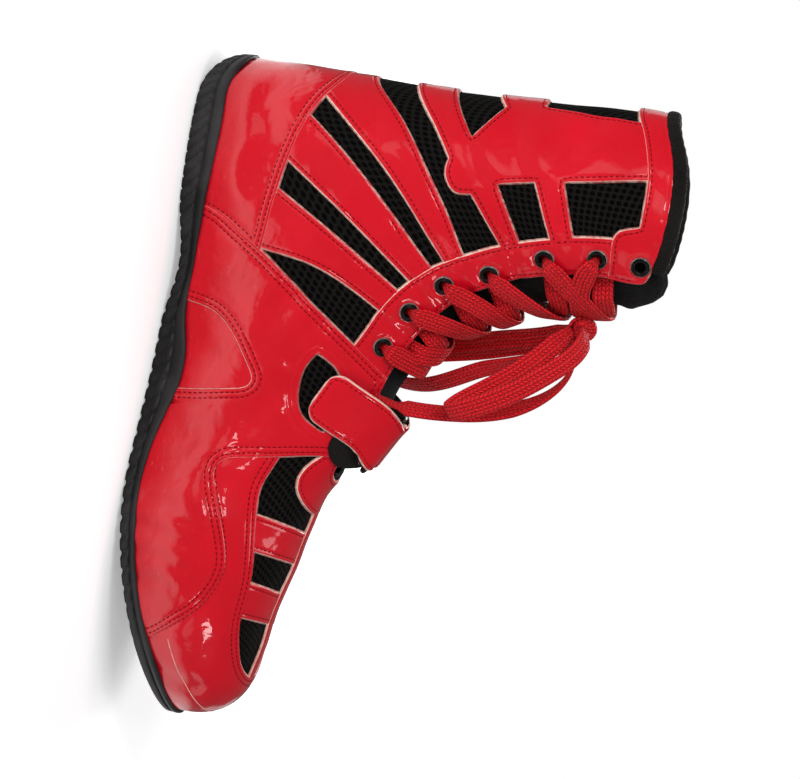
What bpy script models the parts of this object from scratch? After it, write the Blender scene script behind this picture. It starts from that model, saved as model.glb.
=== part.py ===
"""Left boxing shoe: rubber cup sole, black mesh boot with red patent panels, tongue, lace and strap."""

import math

import bmesh
import bpy
import numpy as np
from mathutils import Matrix, Vector

MM = 0.001

# Driving sizes in millimetres: x runs from heel to toe, y to the outer side of the foot, z up.
LENGTH = 290.0
GAP = 0.3
WALL = 2.0
PANEL = 1.2
RIM = 1.9
INSOLE = 3.0
TONGUE = 3.0
BED_START = 2.4
BED_END = 287.0
FEATHER = 0.945

# The sole's underside: rolled heel, flat heel, arch, flat ball of the foot, toe spring.
HEEL_ROLL_LENGTH = 20.0
HEEL_ROLL_HEIGHT = 15.0
HEEL_FLAT_END = 62.0
BALL_FLAT_START = 122.0
BALL_FLAT_END = 178.0
ARCH_RISE = 3.5
TOE_SPRING = 27.0
TOE_SPRING_POWER = 1.8

# Outline of the sole from above: x, centre y, half width.
PLAN = (
    (0.0, 0.0, 0.0),
    (5.0, 0.0, 17.2),
    (15.0, 0.0, 26.4),
    (35.0, 0.0, 31.5),
    (60.0, 0.5, 31.5),
    (90.0, 2.7, 30.8),
    (120.0, 4.5, 33.5),
    (150.0, 4.5, 39.0),
    (180.0, 3.0, 46.0),
    (205.0, 1.0, 49.0),
    (225.0, -0.7, 47.2),
    (245.0, -2.2, 42.2),
    (262.0, -4.0, 34.5),
    (275.0, -5.5, 25.5),
    (284.0, -6.8, 16.2),
    (290.0, -8.0, 0.0),
)

# Sole thickness under the foot and height of its side wall: x, thickness, inner wall, outer wall.
SOLE = (
    (0.0, 3.4, 2.4, 2.4),
    (4.0, 3.5, 9.4, 9.4),
    (10.0, 6.2, 11.8, 11.8),
    (20.0, 8.0, 13.0, 13.0),
    (60.0, 8.0, 12.4, 12.0),
    (72.0, 7.0, 11.0, 10.5),
    (84.0, 5.6, 8.5, 9.2),
    (104.0, 5.2, 8.5, 8.6),
    (116.0, 5.2, 11.0, 8.6),
    (128.0, 4.9, 14.2, 8.6),
    (145.0, 4.5, 14.4, 8.6),
    (158.0, 4.5, 11.4, 8.4),
    (168.0, 4.5, 9.4, 8.2),
    (180.0, 4.5, 8.1, 8.0),
    (205.0, 4.5, 7.6, 7.6),
    (242.0, 4.5, 7.6, 7.6),
    (271.0, 4.5, 8.0, 8.0),
    (290.0, 4.0, 6.4, 6.4),
)

# Profile of the sole's side wall: share of the wall's height, step outwards.
WALL_PROFILE = ((0.0, -1.6), (0.14, 0.0), (0.52, 0.0), (0.57, -0.5), (1.0, -0.3))

# Sections that stand on the sole: bottom x, ridge x, ridge z, half width, ridge y,
# share of the height where the side is widest, share where it turns to the ridge, roundness.
FOOT_SECTIONS = (
    (287.0, 287.2, 40.0, 0.0, -8.0, 0.40, 0.40, 2.2),
    (285.0, 285.0, 46.3, 10.0, -7.7, 0.40, 0.40, 2.2),
    (281.0, 281.0, 53.0, 16.8, -7.2, 0.40, 0.40, 2.2),
    (274.0, 274.0, 58.5, 24.2, -6.6, 0.38, 0.38, 2.2),
    (263.0, 263.0, 61.7, 32.2, -6.0, 0.36, 0.36, 2.2),
    (248.0, 248.0, 64.0, 39.6, -5.6, 0.33, 0.33, 2.1),
    (232.0, 232.0, 66.8, 44.8, -5.2, 0.30, 0.30, 2.0),
    (215.0, 215.0, 71.4, 47.6, -4.6, 0.28, 0.28, 1.9),
    (200.0, 200.0, 74.0, 48.0, -4.0, 0.26, 0.28, 1.85),
    (187.0, 187.0, 77.2, 46.4, -3.2, 0.25, 0.28, 1.8),
    (177.0, 177.0, 81.8, 44.2, -2.5, 0.25, 0.29, 1.75),
    (158.0, 164.0, 92.4, 40.0, -1.5, 0.26, 0.30, 1.75),
    (135.0, 150.0, 100.6, 37.0, -0.6, 0.28, 0.32, 1.75),
    (108.0, 133.0, 106.0, 34.6, 0.0, 0.30, 0.34, 1.8),
    (80.0, 117.0, 113.0, 33.4, 0.0, 0.32, 0.36, 1.8),
    (50.0, 105.5, 123.3, 33.0, 0.0, 0.33, 0.38, 1.8),
    (24.0, 98.5, 132.5, 32.5, 0.0, 0.34, 0.40, 1.8),
    (10.0, 95.0, 139.0, 32.3, 0.0, 0.36, 0.42, 1.85),
    (5.0, 93.3, 142.5, 32.2, 0.0, 0.37, 0.43, 1.85),
)

# Sections that start on the back line: back x, back z, front x, front z, half width,
# share of the depth where the side is widest, share where it turns to the front, roundness.
SHAFT_SECTIONS = (
    (2.4, 12.0, 92.0, 145.5, 32.2, 0.38, 0.44, 1.9),
    (1.7, 22.0, 90.5, 149.0, 32.2, 0.39, 0.44, 1.9),
    (1.5, 36.0, 88.5, 154.5, 32.0, 0.40, 0.45, 1.9),
    (1.5, 56.0, 86.0, 163.0, 31.5, 0.41, 0.46, 1.9),
    (1.5, 80.0, 84.0, 171.5, 31.0, 0.43, 0.47, 1.9),
    (1.5, 105.0, 82.9, 180.0, 30.8, 0.44, 0.48, 1.95),
    (1.2, 130.0, 83.2, 188.5, 30.8, 0.46, 0.49, 2.0),
    (-0.5, 155.0, 84.2, 196.5, 31.0, 0.47, 0.50, 2.0),
    (-2.0, 180.0, 85.2, 204.0, 31.2, 0.48, 0.50, 2.0),
    (-1.4, 197.0, 85.8, 209.5, 31.3, 0.48, 0.50, 2.0),
    (-1.0, 214.0, 86.0, 215.0, 31.5, 0.48, 0.50, 2.0),
)
# Sections drawn as facets; the skipped ones lie on nearly straight runs.
STRAIGHT_SECTIONS = (20, 22, 24, 26, 28)
RING_STEPS = 16
TONGUE_HALF_RING = 0.375
TONGUE_GAP = 0.4
TONGUE_FIRST_SECTION = 9
INSOLE_FIRST_SECTION = 2
INSOLE_LAST_SECTION = 17

# Lines that panels share, seen from the side: x, z.
COUNTER_SEAM = ((66.0, -5.0), (67.5, 15.0), (74.0, 27.5), (82.0, 41.0), (98.0, 62.5), (114.0, 84.0),
                (128.0, 101.0))
COUNTER_TOP = ((82.0, 41.0), (62.0, 42.5), (45.0, 45.0), (28.0, 49.5), (15.0, 55.0), (5.0, 60.5),
               (-20.0, 66.0))
COLLAR_LINE = ((-20.0, 183.0), (0.0, 183.5), (8.0, 187.0), (19.0, 191.0), (28.0, 193.0), (46.0, 193.5),
               (48.6, 186.0), (52.0, 183.5), (60.0, 183.5), (76.0, 184.5))
COLLAR_EDGE = ((-40.0, 196.6), (-20.0, 196.6), (-2.0, 196.7), (3.0, 197.4), (12.7, 201.2), (25.0, 204.6),
               (38.0, 205.5), (51.0, 204.8), (60.0, 203.2), (65.5, 201.2))
THROAT_EDGE = ((69.4, 196.5), (68.8, 184.0), (70.3, 168.0), (75.3, 149.0), (81.0, 136.0), (90.0, 122.5),
               (102.0, 111.8), (118.0, 102.5), (132.0, 97.5), (145.0, 93.5), (157.0, 88.6), (166.0, 84.6),
               (172.0, 83.4), (175.2, 85.0))
SIDE_FRONT = ((164.0, 110.0), (164.0, 81.0), (171.0, 43.0), (176.0, 38.5), (190.0, 43.0), (205.0, 48.0),
              (222.0, 48.0), (232.0, 43.5), (242.0, 34.0), (252.0, 21.0), (256.0, 5.0))
OPENING_BEYOND = ((176.0, 90.0), (176.0, 260.0), (-40.0, 260.0))
TONGUE_TIP = ((40.0, 196.0), (58.0, 204.5), (70.0, 207.8), (76.0, 206.5), (80.5, 202.5), (85.0, 195.0))
TONGUE_BEYOND = ((140.0, 195.0), (140.0, 260.0), (40.0, 260.0))
COLLAR_POINTS = 21

# Panels seen from the side, each between its windows: x, z.
HEEL_COUNTER = ((-20.0, -5.0),) + COUNTER_SEAM[:4] + COUNTER_TOP[1:]
BAR_FRONT = ((55.0, 43.4), (82.0, 41.0), (85.5, 64.0), (99.0, 91.5), (88.5, 98.8), (69.0, 68.0))
BAR_MIDDLE = ((23.0, 51.5), (44.0, 45.2), (62.0, 72.0), (84.5, 102.0), (76.5, 111.0), (45.0, 79.0))
BAR_BACK = ((-20.0, 66.0), (5.0, 60.5), (15.0, 55.0), (38.0, 83.0), (73.5, 115.0), (69.0, 124.0),
            (56.0, 116.5), (39.0, 105.0), (15.0, 86.0), (0.0, 71.5), (-20.0, 71.5))
ANKLE_PANEL = ((-20.0, 86.0), (0.0, 88.0), (18.0, 101.0), (32.4, 111.5), (41.5, 112.2), (45.5, 118.0),
               (45.0, 123.0), (63.0, 137.5), (59.6, 146.0), (39.0, 134.0), (36.0, 148.0), (56.8, 157.5),
               (54.4, 168.0), (34.0, 161.0), (28.0, 193.0), (19.0, 191.0), (8.0, 187.0), (3.8, 185.3),
               (3.8, 146.5), (-20.0, 145.5), (-20.0, 124.0), (0.0, 124.3), (7.0, 129.0), (20.6, 119.0),
               (0.0, 107.0), (-20.0, 106.0))
EYESTAY = ((114.0, 84.0), (99.0, 91.5), (86.0, 100.5), (75.0, 113.0), (68.0, 126.0), (61.5, 141.0),
           (56.5, 158.0), (53.5, 171.0), (52.0, 183.5), (60.0, 183.5), (76.0, 184.5), (86.0, 150.0),
           (105.0, 125.0), (128.0, 101.0))
COLLAR_BAND = COLLAR_LINE + ((90.0, 200.0), (90.0, 230.0), (-20.0, 230.0))
ARCH_PATCH = ((108.0, -5.0), (111.5, 26.0), (121.0, 39.0), (130.0, 45.0), (136.5, 42.5), (141.5, 31.0),
              (147.0, -5.0))
STRAP_SLOT = ((122.0, 70.0), (128.0, 66.5), (138.0, 65.5), (147.0, 68.0), (153.0, 77.0), (145.0, 81.0),
              (130.0, 81.0))
SIDE_PANEL = COUNTER_SEAM + ((140.0, 112.0),) + SIDE_FRONT
FOREFOOT = SIDE_FRONT + ((260.0, -10.0), (320.0, -10.0), (320.0, 110.0))

# Toe panels seen from above: x, y.
TOE_OPENING = ((150.0, -30.0), (166.0, -32.0), (189.0, -36.0), (208.0, -36.0), (225.0, -33.0),
               (240.0, -32.5), (250.0, -29.5), (258.0, -25.0), (264.0, -18.5), (267.0, -9.0),
               (266.0, -2.0), (261.0, 7.0),
               (252.0, 14.0), (240.0, 19.0), (226.0, 22.5), (214.0, 27.0), (203.0, 32.5), (190.0, 37.0),
               (166.0, 38.0), (150.0, 38.0))
TOE_STRIP = ((190.0, -9.2), (290.0, -15.0), (290.0, -5.2), (190.0, 0.8))
TOE_BAR_BACK = ((189.0, -40.0), (201.0, -4.0), (206.0, 40.0), (222.0, 40.0), (216.5, -4.0), (207.0, -40.0))
TOE_BAR_FRONT = ((219.0, -40.0), (229.0, -5.0), (233.0, 40.0), (249.0, 40.0), (244.5, -5.0), (236.0, -40.0))
VAMP_CENTRE = (174.0, -1.5)
VAMP_LENGTH = 19.0
VAMP_HALF_WIDTH = 25.0
VAMP_SIDES = 24
TOE_LEVELS = (-20.0, 120.0)
LADDER_LEVELS = (30.0, 100.0)
VAMP_LEVELS = (40.0, 120.0)

# Eyelets of one side, from the instep to the collar: x, z.
EYELETS = ((113.6, 95.4), (97.0, 104.2), (83.3, 117.0), (75.4, 135.2), (65.2, 157.2), (61.6, 179.0),
           (61.6, 197.0))
# Turned profile of an eyelet's flange: radius, height over the panel.
EYELET_PROFILE = ((4.3, 0.3), (2.4, 0.3), (2.8, 0.9))
EYELET_SIDES = 8
EYELET_HOLE = 2.6
EYELET_HOLE_SIDES = 6
EYELET_HOLE_DEPTH = 12.0
LACED_EYELETS = 6

LACE_WIDTH = 8.5
LACE_THICKNESS = 1.6
LACE_LIFT_EYELET = 4.5
LACE_LIFT_RIDGE = 2.6
LACE_LAY = 1.0
LACE_LAY_EYELET = 0.3
LACE_FIRST_BAR = -0.1
LACE_POINTS = 7
LACE_CORD_RADIUS = 2.2
LACE_CORD_POINTS = 14
KNOT_SECTION = 23.4
KNOT_LIFT = 9.0
KNOT_SIZE = (5.0, 8.0, 5.5)
KNOT_SIDES = (10, 7)

BINDING_FRONT = 64.0
BINDING_BACK = -1.2
BINDING_STEPS = 13
BINDING_INSIDE = 3.2
BINDING_SLIM_FROM = 25.0
BINDING_INSIDE_FRONT = 1.8
# Outer half of the roll: step outwards, rise; inner half: share of its inside depth, rise.
BINDING_OUTER_HALF = ((1.9, 0.5), (2.2, 2.2), (1.0, 4.2))
BINDING_INNER_HALF = ((0.4, 4.6), (0.93, 3.2), (1.0, 1.0))
BINDING_BACK_RING = 0.96

STRAP_WIDTH = 22.0
STRAP_THICKNESS = 1.5
STRAP_RING_X = 155.5
STRAP_RING_LIFT = 2.6
STRAP_RING_LENGTH = 29.0
STRAP_RING_SPACING = 8.4
STRAP_RING_WIRE = 1.3
STRAP_RING_CORNER = 2.5
STRAP_FOLD_STEPS = 6
STRAP_FOLD_RUNS = (4.0, 4.5)
# Runs of the straps on the boot's side: x, z, lift.
STRAP_FREE_END = ((139.0, 77.0, 4.2), (144.0, 86.0, 5.0), (149.5, 94.0, 6.2))
KEEPER_FREE_END = ((144.0, 84.0, 5.2), (149.5, 94.0, 6.2))
STRAP_SEWN_END = ((151.0, 95.0, 4.0), (149.0, 91.5, 3.2))

SOLE_STATIONS = 33
SOLE_CROWDING = 0.11
SOLE_TAPER = 10.0
RIB_WIDTH = 2.0
RIB_DEPTH = 1.3
RIB_SHARE = 0.52
RIB_UNDER = 2.0
# Rows of gaps cut into the sole's wall: first x, last x, pitch, tilt.
RIB_ROWS = ((6.0, 64.0, 6.4, 0.6), (124.0, 280.0, 11.0, -0.2))

INSOLE_CLEAR = WALL + 2.0
INSOLE_EDGE = 1.2

BEYOND = 150.0
BESIDE = 10.0
UNDER = -30.0
SIDES = {"inner": -1, "outer": 1}
HALVINGS = 40
NORMAL_STEP = 0.02
WELD = 0.001
SHARP_ANGLE = 40.0
MITRE_LIMIT = 0.4

# Colours: name, red, green, blue, roughness, metallic.
MATERIALS = (
    ("patent_red", 0.70, 0.011, 0.024, 0.12, 0.0),
    ("mesh_black", 0.006, 0.006, 0.006, 0.85, 0.0),
    ("rubber_black", 0.022, 0.020, 0.021, 0.60, 0.0),
    ("binding_black", 0.010, 0.009, 0.008, 0.80, 0.0),
    ("insole_black", 0.012, 0.012, 0.012, 0.90, 0.0),
    ("metal_black", 0.010, 0.010, 0.010, 0.35, 1.0),
    ("lace_red", 0.45, 0.008, 0.012, 0.75, 0.0),
)


class Spline:
    """Natural cubic spline through a table's column."""

    def __init__(self, knots, values):
        self.knots = np.array(knots, float)
        self.values = np.array(values, float)
        size = len(self.knots)
        step = np.diff(self.knots)
        slope = np.diff(self.values) / step
        matrix = np.eye(size)
        right = np.zeros(size)
        for i in range(1, size - 1):
            matrix[i, i - 1:i + 2] = step[i - 1], 2 * (step[i - 1] + step[i]), step[i]
            right[i] = 6 * (slope[i] - slope[i - 1])
        self.bend = np.linalg.solve(matrix, right)

    def __call__(self, place):
        place = min(max(place, self.knots[0]), self.knots[-1])
        i = min(max(int(np.searchsorted(self.knots, place)) - 1, 0), len(self.knots) - 2)
        width = self.knots[i + 1] - self.knots[i]
        after = (place - self.knots[i]) / width
        before = 1 - after
        straight = before * self.values[i] + after * self.values[i + 1]
        curve = (before ** 3 - before) * self.bend[i] + (after ** 3 - after) * self.bend[i + 1]
        return float(straight + curve * width * width / 6)


def columns(table):
    return list(zip(*table))


plan_x, plan_centre, plan_half = columns(PLAN)
centre_curve = Spline(plan_x, plan_centre)
half_squared_curve = Spline(plan_x, np.square(plan_half))
sole_x, sole_thickness, sole_inner_wall, sole_outer_wall = columns(SOLE)
thickness_curve = Spline(sole_x, sole_thickness)
wall_curves = {-1: Spline(sole_x, sole_inner_wall), 1: Spline(sole_x, sole_outer_wall)}


def plan_half_width(x):
    return math.sqrt(max(half_squared_curve(x), 0.0)) if 0 < x < LENGTH else 0.0


def sole_bottom(x):
    """Height of the sole's underside along the middle of the shoe."""
    if x < HEEL_ROLL_LENGTH:
        share = (HEEL_ROLL_LENGTH - max(x, 0.0)) / HEEL_ROLL_LENGTH
        return HEEL_ROLL_HEIGHT * (1 - math.sqrt(1 - share * share))
    if HEEL_FLAT_END < x < BALL_FLAT_START:
        share = (x - HEEL_FLAT_END) / (BALL_FLAT_START - HEEL_FLAT_END)
        return ARCH_RISE * math.sin(math.pi * share) ** 2
    if x > BALL_FLAT_END:
        return TOE_SPRING * ((x - BALL_FLAT_END) / (LENGTH - BALL_FLAT_END)) ** TOE_SPRING_POWER
    return 0.0


def sole_stations():
    """Places of the sole's cross sections, closer together at heel and toe."""
    shares = np.linspace(0.0, 1.0, SOLE_STATIONS)
    return LENGTH * (shares - SOLE_CROWDING * np.sin(2 * math.pi * shares))


def foot_bed(x):
    return sole_bottom(x) + thickness_curve(x)


def rim_top(x, side):
    return sole_bottom(x) + wall_curves[side](x)


def bed_to_plan(x):
    """Place on the sole's outline that belongs to a place on the boot's shorter lower edge."""
    return (x - BED_START) * LENGTH / (BED_END - BED_START)


def section_rows():
    """Rows of bottom x and z, ridge x and z, half width squared, bottom y, ridge y, three shares."""
    rows = []
    for bottom_x, ridge_x, ridge_z, half, ridge_y, low, high, power in FOOT_SECTIONS:
        bottom_z = foot_bed(bottom_x) + GAP
        bottom_y = centre_curve(bed_to_plan(bottom_x))
        rows.append((bottom_x, bottom_z, ridge_x, ridge_z, half ** 2, bottom_y, ridge_y, low, high, power))
    for back_x, back_z, front_x, front_z, half, low, high, power in SHAFT_SECTIONS:
        rows.append((back_x, back_z, front_x, front_z, half ** 2, 0.0, 0.0, low, high, power))
    return rows


section_curves = [Spline(range(len(column)), column) for column in np.transpose(section_rows())]
SECTION_COUNT = len(FOOT_SECTIONS) + len(SHAFT_SECTIONS)


def section(s):
    return [curve(s) for curve in section_curves]


def side_point(values, s, share, side):
    """Point on one side of a section, share of the way from its bottom or back to its ridge or front."""
    bottom_x, bottom_z, ridge_x, ridge_z, half_squared, bottom_y, ridge_y, low, high, power = values
    half = math.sqrt(max(half_squared, 0.0))
    feather = 0.0
    if s < len(FOOT_SECTIONS) and half > 0:
        feather = min(FEATHER * plan_half_width(bed_to_plan(bottom_x)) / half, 0.99)
    width = half
    if share < low:
        width *= math.sqrt(max(1 - (1 - feather ** 2) * (1 - share / low) ** 2, 0.0))
    if share > high:
        turn = min((share - high) / (1 - high), 1.0)
        width *= max(1 - turn ** power, 0.0) ** (1 / power)
    middle = bottom_y + (ridge_y - bottom_y) * share
    x = bottom_x + (ridge_x - bottom_x) * share
    z = bottom_z + (ridge_z - bottom_z) * share
    return Vector((x, middle + side * width, z))


def boot_point(s, ring):
    """Point on the boot: s counts sections from the toe, ring runs from -1, inner bottom, over 0 to 1."""
    share = (1 + math.cos(math.pi * ring)) / 2
    return side_point(section(s), s, share, 1 if ring > 0 else -1)


def boot_normal(s, ring):
    along = boot_point(min(s + NORMAL_STEP, SECTION_COUNT - 1), ring) - boot_point(s - NORMAL_STEP, ring)
    around = boot_point(s, ring + NORMAL_STEP) - boot_point(s, ring - NORMAL_STEP)
    return around.cross(along).normalized()


def locate(x, z):
    """Section and ring place on the outer side of the boot that show at (x, z) from the side."""
    first, last = 0.0, SECTION_COUNT - 1.0
    for _ in range(HALVINGS):
        s = (first + last) / 2
        bottom_x, bottom_z, ridge_x, ridge_z = section(s)[:4]
        if (ridge_x - bottom_x) * (z - bottom_z) - (ridge_z - bottom_z) * (x - bottom_x) > 0:
            first = s
        else:
            last = s
    reach = Vector((ridge_x - bottom_x, ridge_z - bottom_z))
    share = Vector((x - bottom_x, z - bottom_z)).dot(reach) / reach.length_squared
    return s, math.acos(min(max(2 * share - 1, -1.0), 1.0)) / math.pi


def ridge_section(x):
    """Section whose ridge lies at x."""
    first, last = 0.0, SECTION_COUNT - 1.0
    for _ in range(HALVINGS):
        s = (first + last) / 2
        if section(s)[2] > x:
            first = s
        else:
            last = s
    return s


def on_boot(x, z, side, lift):
    """Point lifted off the boot's side at (x, z)."""
    s, ring = locate(x, z)
    return boot_point(s, side * ring) + boot_normal(s, side * ring) * lift


for old in list(bpy.data.objects):
    bpy.data.objects.remove(old, do_unlink=True)

parts = bpy.data.collections.new("boxing_shoe")
cutters = bpy.data.collections.new("cutters")
lace_bars = bpy.data.collections.new("lace_bars")
for collection in (parts, cutters):
    bpy.context.scene.collection.children.link(collection)
cutters.children.link(lace_bars)

root = bpy.data.objects.new("shoe_origin", None)
parts.objects.link(root)


def make_material(name, red, green, blue, roughness, metallic):
    material = bpy.data.materials.new(name)
    material.use_nodes = True
    shader = material.node_tree.nodes["Principled BSDF"]
    shader.inputs["Base Color"].default_value = (red, green, blue, 1.0)
    shader.inputs["Roughness"].default_value = roughness
    shader.inputs["Metallic"].default_value = metallic
    return material


materials = {row[0]: make_material(*row) for row in MATERIALS}


def add_object(name, data, material):
    obj = bpy.data.objects.new(name, data)
    obj.parent = root
    if not data.materials:
        data.materials.append(materials[material])
    parts.objects.link(obj)
    return obj


def add_cutter(name, data, collection=cutters):
    obj = bpy.data.objects.new(name, data)
    obj.parent = root
    obj.hide_render = True
    obj.display_type = "WIRE"
    collection.objects.link(obj)
    return obj


def finish_mesh(name, mesh):
    """Weld, triangulate and scale a mesh drawn in millimetres."""
    bmesh.ops.remove_doubles(mesh, verts=mesh.verts, dist=WELD)
    bmesh.ops.triangulate(mesh, faces=mesh.faces, quad_method="FIXED")
    bmesh.ops.scale(mesh, vec=(MM, MM, MM), verts=mesh.verts)
    data = bpy.data.meshes.new(name)
    mesh.to_mesh(data)
    mesh.free()
    data.shade_smooth()
    data.set_sharp_from_angle(angle=math.radians(SHARP_ANGLE))
    return data


def boot_surface(name, lift, first=0, half_ring=1.0, closed=False):
    """Loft through the sections, moved outwards by lift; closed adds the bottom and a lid."""
    mesh = bmesh.new()
    rings = [i * 2 / RING_STEPS - 1 for i in range(RING_STEPS + 1)]
    rings = [ring for ring in rings if abs(ring) < half_ring + 0.01]
    drawn = [s for s in range(first, SECTION_COUNT) if s not in STRAIGHT_SECTIONS]
    rows = [[mesh.verts.new(boot_point(s, ring)) for ring in rings] for s in drawn]
    last = len(rings) - 1
    for near, far in zip(rows, rows[1:]):
        for j in range(last):
            mesh.faces.new((near[j], near[j + 1], far[j + 1], far[j]))
        if closed:
            mesh.faces.new((near[last], near[0], far[0], far[last]))
    if closed:
        mesh.faces.new(rows[-1][:last])
    bmesh.ops.remove_doubles(mesh, verts=mesh.verts, dist=WELD)
    mesh.normal_update()
    for vertex in mesh.verts:
        vertex.co += vertex.normal * lift
    return finish_mesh(name, mesh)


def loft(name, sections):
    """Closed solid through sections of equal size; first and last are capped."""
    mesh = bmesh.new()
    rows = [[mesh.verts.new(point) for point in points] for points in sections]
    size = len(rows[0])
    for near, far in zip(rows, rows[1:]):
        for j in range(size):
            mesh.faces.new((near[j], near[(j + 1) % size], far[(j + 1) % size], far[j]))
    mesh.faces.new(list(reversed(rows[0])))
    mesh.faces.new(rows[-1])
    bmesh.ops.remove_doubles(mesh, verts=mesh.verts, dist=WELD)
    bmesh.ops.recalc_face_normals(mesh, faces=mesh.faces)
    return finish_mesh(name, mesh)


def inset(outline, amount):
    """Outline with every edge moved inwards."""
    points = [Vector(point) for point in outline]
    area = sum(a.cross(b) for a, b in zip(points, points[1:] + points[:1]))
    turn = 1 if area > 0 else -1
    moved = []
    for before, point, after in zip(points[-1:] + points, points, points[1:] + points[:1]):
        first = (point - before).normalized()
        second = (after - point).normalized()
        normals = Vector((-first.y, first.x)) * turn, Vector((-second.y, second.x)) * turn
        middle = normals[0] + normals[1]
        moved.append(point + middle * (2 * amount / max(middle.length_squared, MITRE_LIMIT)))
    return moved


def prism(name, outline, axis, near, far):
    """Outline extruded along y (drawn in x and z) or along z (drawn in x and y)."""
    mesh = bmesh.new()
    if axis == "y":
        base = [mesh.verts.new((x, near, z)) for x, z in outline]
        move = (0.0, far - near, 0.0)
    else:
        base = [mesh.verts.new((x, y, near)) for x, y in outline]
        move = (0.0, 0.0, far - near)
    face = mesh.faces.new(base)
    extruded = bmesh.ops.extrude_face_region(mesh, geom=[face])
    moved = [item for item in extruded["geom"] if isinstance(item, bmesh.types.BMVert)]
    bmesh.ops.translate(mesh, vec=move, verts=moved)
    bmesh.ops.recalc_face_normals(mesh, faces=mesh.faces)
    return add_cutter(name, finish_mesh(name, mesh))


def boolean(obj, operation, cutter):
    modifier = obj.modifiers.new(cutter.name, "BOOLEAN")
    modifier.operation = operation
    modifier.solver = "EXACT"
    modifier.object = cutter


def solidify(obj, thickness, offset):
    modifier = obj.modifiers.new("wall", "SOLIDIFY")
    modifier.thickness = thickness * MM
    modifier.offset = offset


def side_prism(name, outline, side):
    """Prism through one side of the shoe, or through both."""
    near, far = {"inner": (-BEYOND, 0.0), "outer": (0.0, BEYOND), "both": (-BEYOND, BEYOND)}[side]
    return prism(f"{name}_{side}_cutter", outline, "y", near, far)


def make_rim_cutters():
    for side, sign in SIDES.items():
        line = [(x, rim_top(x, sign) + 2 * GAP) for x in sole_stations()]
        heel = [(-BESIDE, UNDER), (-BESIDE, line[0][1])]
        toe = [(LENGTH + BESIDE, line[-1][1]), (LENGTH + BESIDE, UNDER)]
        yield side_prism("rim", heel + line + toe, side)


def make_hole_cutter():
    mesh = bmesh.new()
    for side in SIDES.values():
        for x, z in EYELETS:
            place = Matrix.Translation(on_boot(x, z, side, 0.0)) @ eyelet_turn(x, z, side)
            bmesh.ops.create_cone(mesh, cap_ends=True, segments=EYELET_HOLE_SIDES, radius1=EYELET_HOLE,
                                  radius2=EYELET_HOLE, depth=EYELET_HOLE_DEPTH, matrix=place)
    return add_cutter("eyelet_hole_cutter", finish_mesh("eyelet_hole_cutter", mesh))


def eyelet_turn(x, z, side):
    s, ring = locate(x, z)
    return boot_normal(s, side * ring).to_track_quat("Z", "Y").to_matrix().to_4x4()


collar_edge = Spline(*columns(COLLAR_EDGE))
collar_places = np.linspace(COLLAR_EDGE[0][0], COLLAR_EDGE[-1][0], COLLAR_POINTS)
collar_outline = tuple((x, collar_edge(x)) for x in collar_places)
opening_cutter = side_prism("opening", collar_outline + THROAT_EDGE + OPENING_BEYOND, "both")
rim_cutters = list(make_rim_cutters())
hole_cutter = make_hole_cutter()
skin = boot_surface("panel_skin", GAP)


def make_panel(name, keep, cut):
    """Patent panel: the part of the boot's skin inside every kept form and outside every cut form."""
    panel = add_object(name, skin.copy(), "patent_red")
    solidify(panel, PANEL, 1.0)
    for cutter in keep:
        boolean(panel, "INTERSECT", cutter)
    for cutter in cut:
        boolean(panel, "DIFFERENCE", cutter)


def make_side_panels():
    """Panels whose outline shows from the side."""
    half_gap = GAP / 2
    for name, outline, cut in (
        ("heel_counter", HEEL_COUNTER, rim_cutters),
        ("quarter_bar_back", BAR_BACK, []),
        ("ankle_panel", ANKLE_PANEL, []),
        ("collar_band", COLLAR_BAND, [opening_cutter, hole_cutter]),
    ):
        make_panel(name, [side_prism(name, inset(outline, half_gap), "both")], cut)
    slot = side_prism("strap_slot", STRAP_SLOT, "inner")
    for side in SIDES:
        patch = side_prism("arch", inset(ARCH_PATCH, -half_gap), side)
        side_cut = rim_cutters + [opening_cutter, patch] + ([slot] if side == "inner" else [])
        for name, outline, cut in (
            ("quarter_bar_middle", BAR_MIDDLE, []),
            ("quarter_bar_front", BAR_FRONT, []),
            ("eyestay", EYESTAY, [opening_cutter, hole_cutter]),
            ("side_panel", SIDE_PANEL, side_cut),
            ("arch_patch", ARCH_PATCH, rim_cutters),
        ):
            make_panel(f"{name}_{side}", [side_prism(name, inset(outline, half_gap), side)], cut)


def make_toe_panels():
    """Toe cap, its ladder of strip and bars, and the oval above them."""
    half_gap = GAP / 2
    forefoot = side_prism("forefoot", inset(FOREFOOT, half_gap), "both")
    opening = prism("toe_opening_cutter", inset(TOE_OPENING, -half_gap), "z", *TOE_LEVELS)
    inside = prism("toe_inside_cutter", inset(TOE_OPENING, half_gap), "z", *TOE_LEVELS)
    make_panel("toe_cap", [forefoot], rim_cutters + [opening])

    middle_x, middle_y = VAMP_CENTRE
    turns = [i * 2 * math.pi / VAMP_SIDES for i in range(VAMP_SIDES)]
    oval_outline = [(middle_x + VAMP_LENGTH * math.cos(turn), middle_y + VAMP_HALF_WIDTH * math.sin(turn))
                    for turn in turns]
    oval = prism("vamp_oval_cutter", inset(oval_outline, half_gap), "z", *VAMP_LEVELS)
    make_panel("vamp_oval", [forefoot, oval], [opening_cutter])

    ladder = prism("toe_strip_cutter", TOE_STRIP, "z", *LADDER_LEVELS)
    for name, outline in (("toe_bar_back_cutter", TOE_BAR_BACK), ("toe_bar_front_cutter", TOE_BAR_FRONT)):
        boolean(ladder, "UNION", prism(name, outline, "z", *LADDER_LEVELS))
    around_oval = prism("vamp_oval_gap_cutter", inset(oval_outline, -half_gap), "z", *TOE_LEVELS)
    make_panel("toe_ladder", [ladder, inside], [around_oval])


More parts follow.
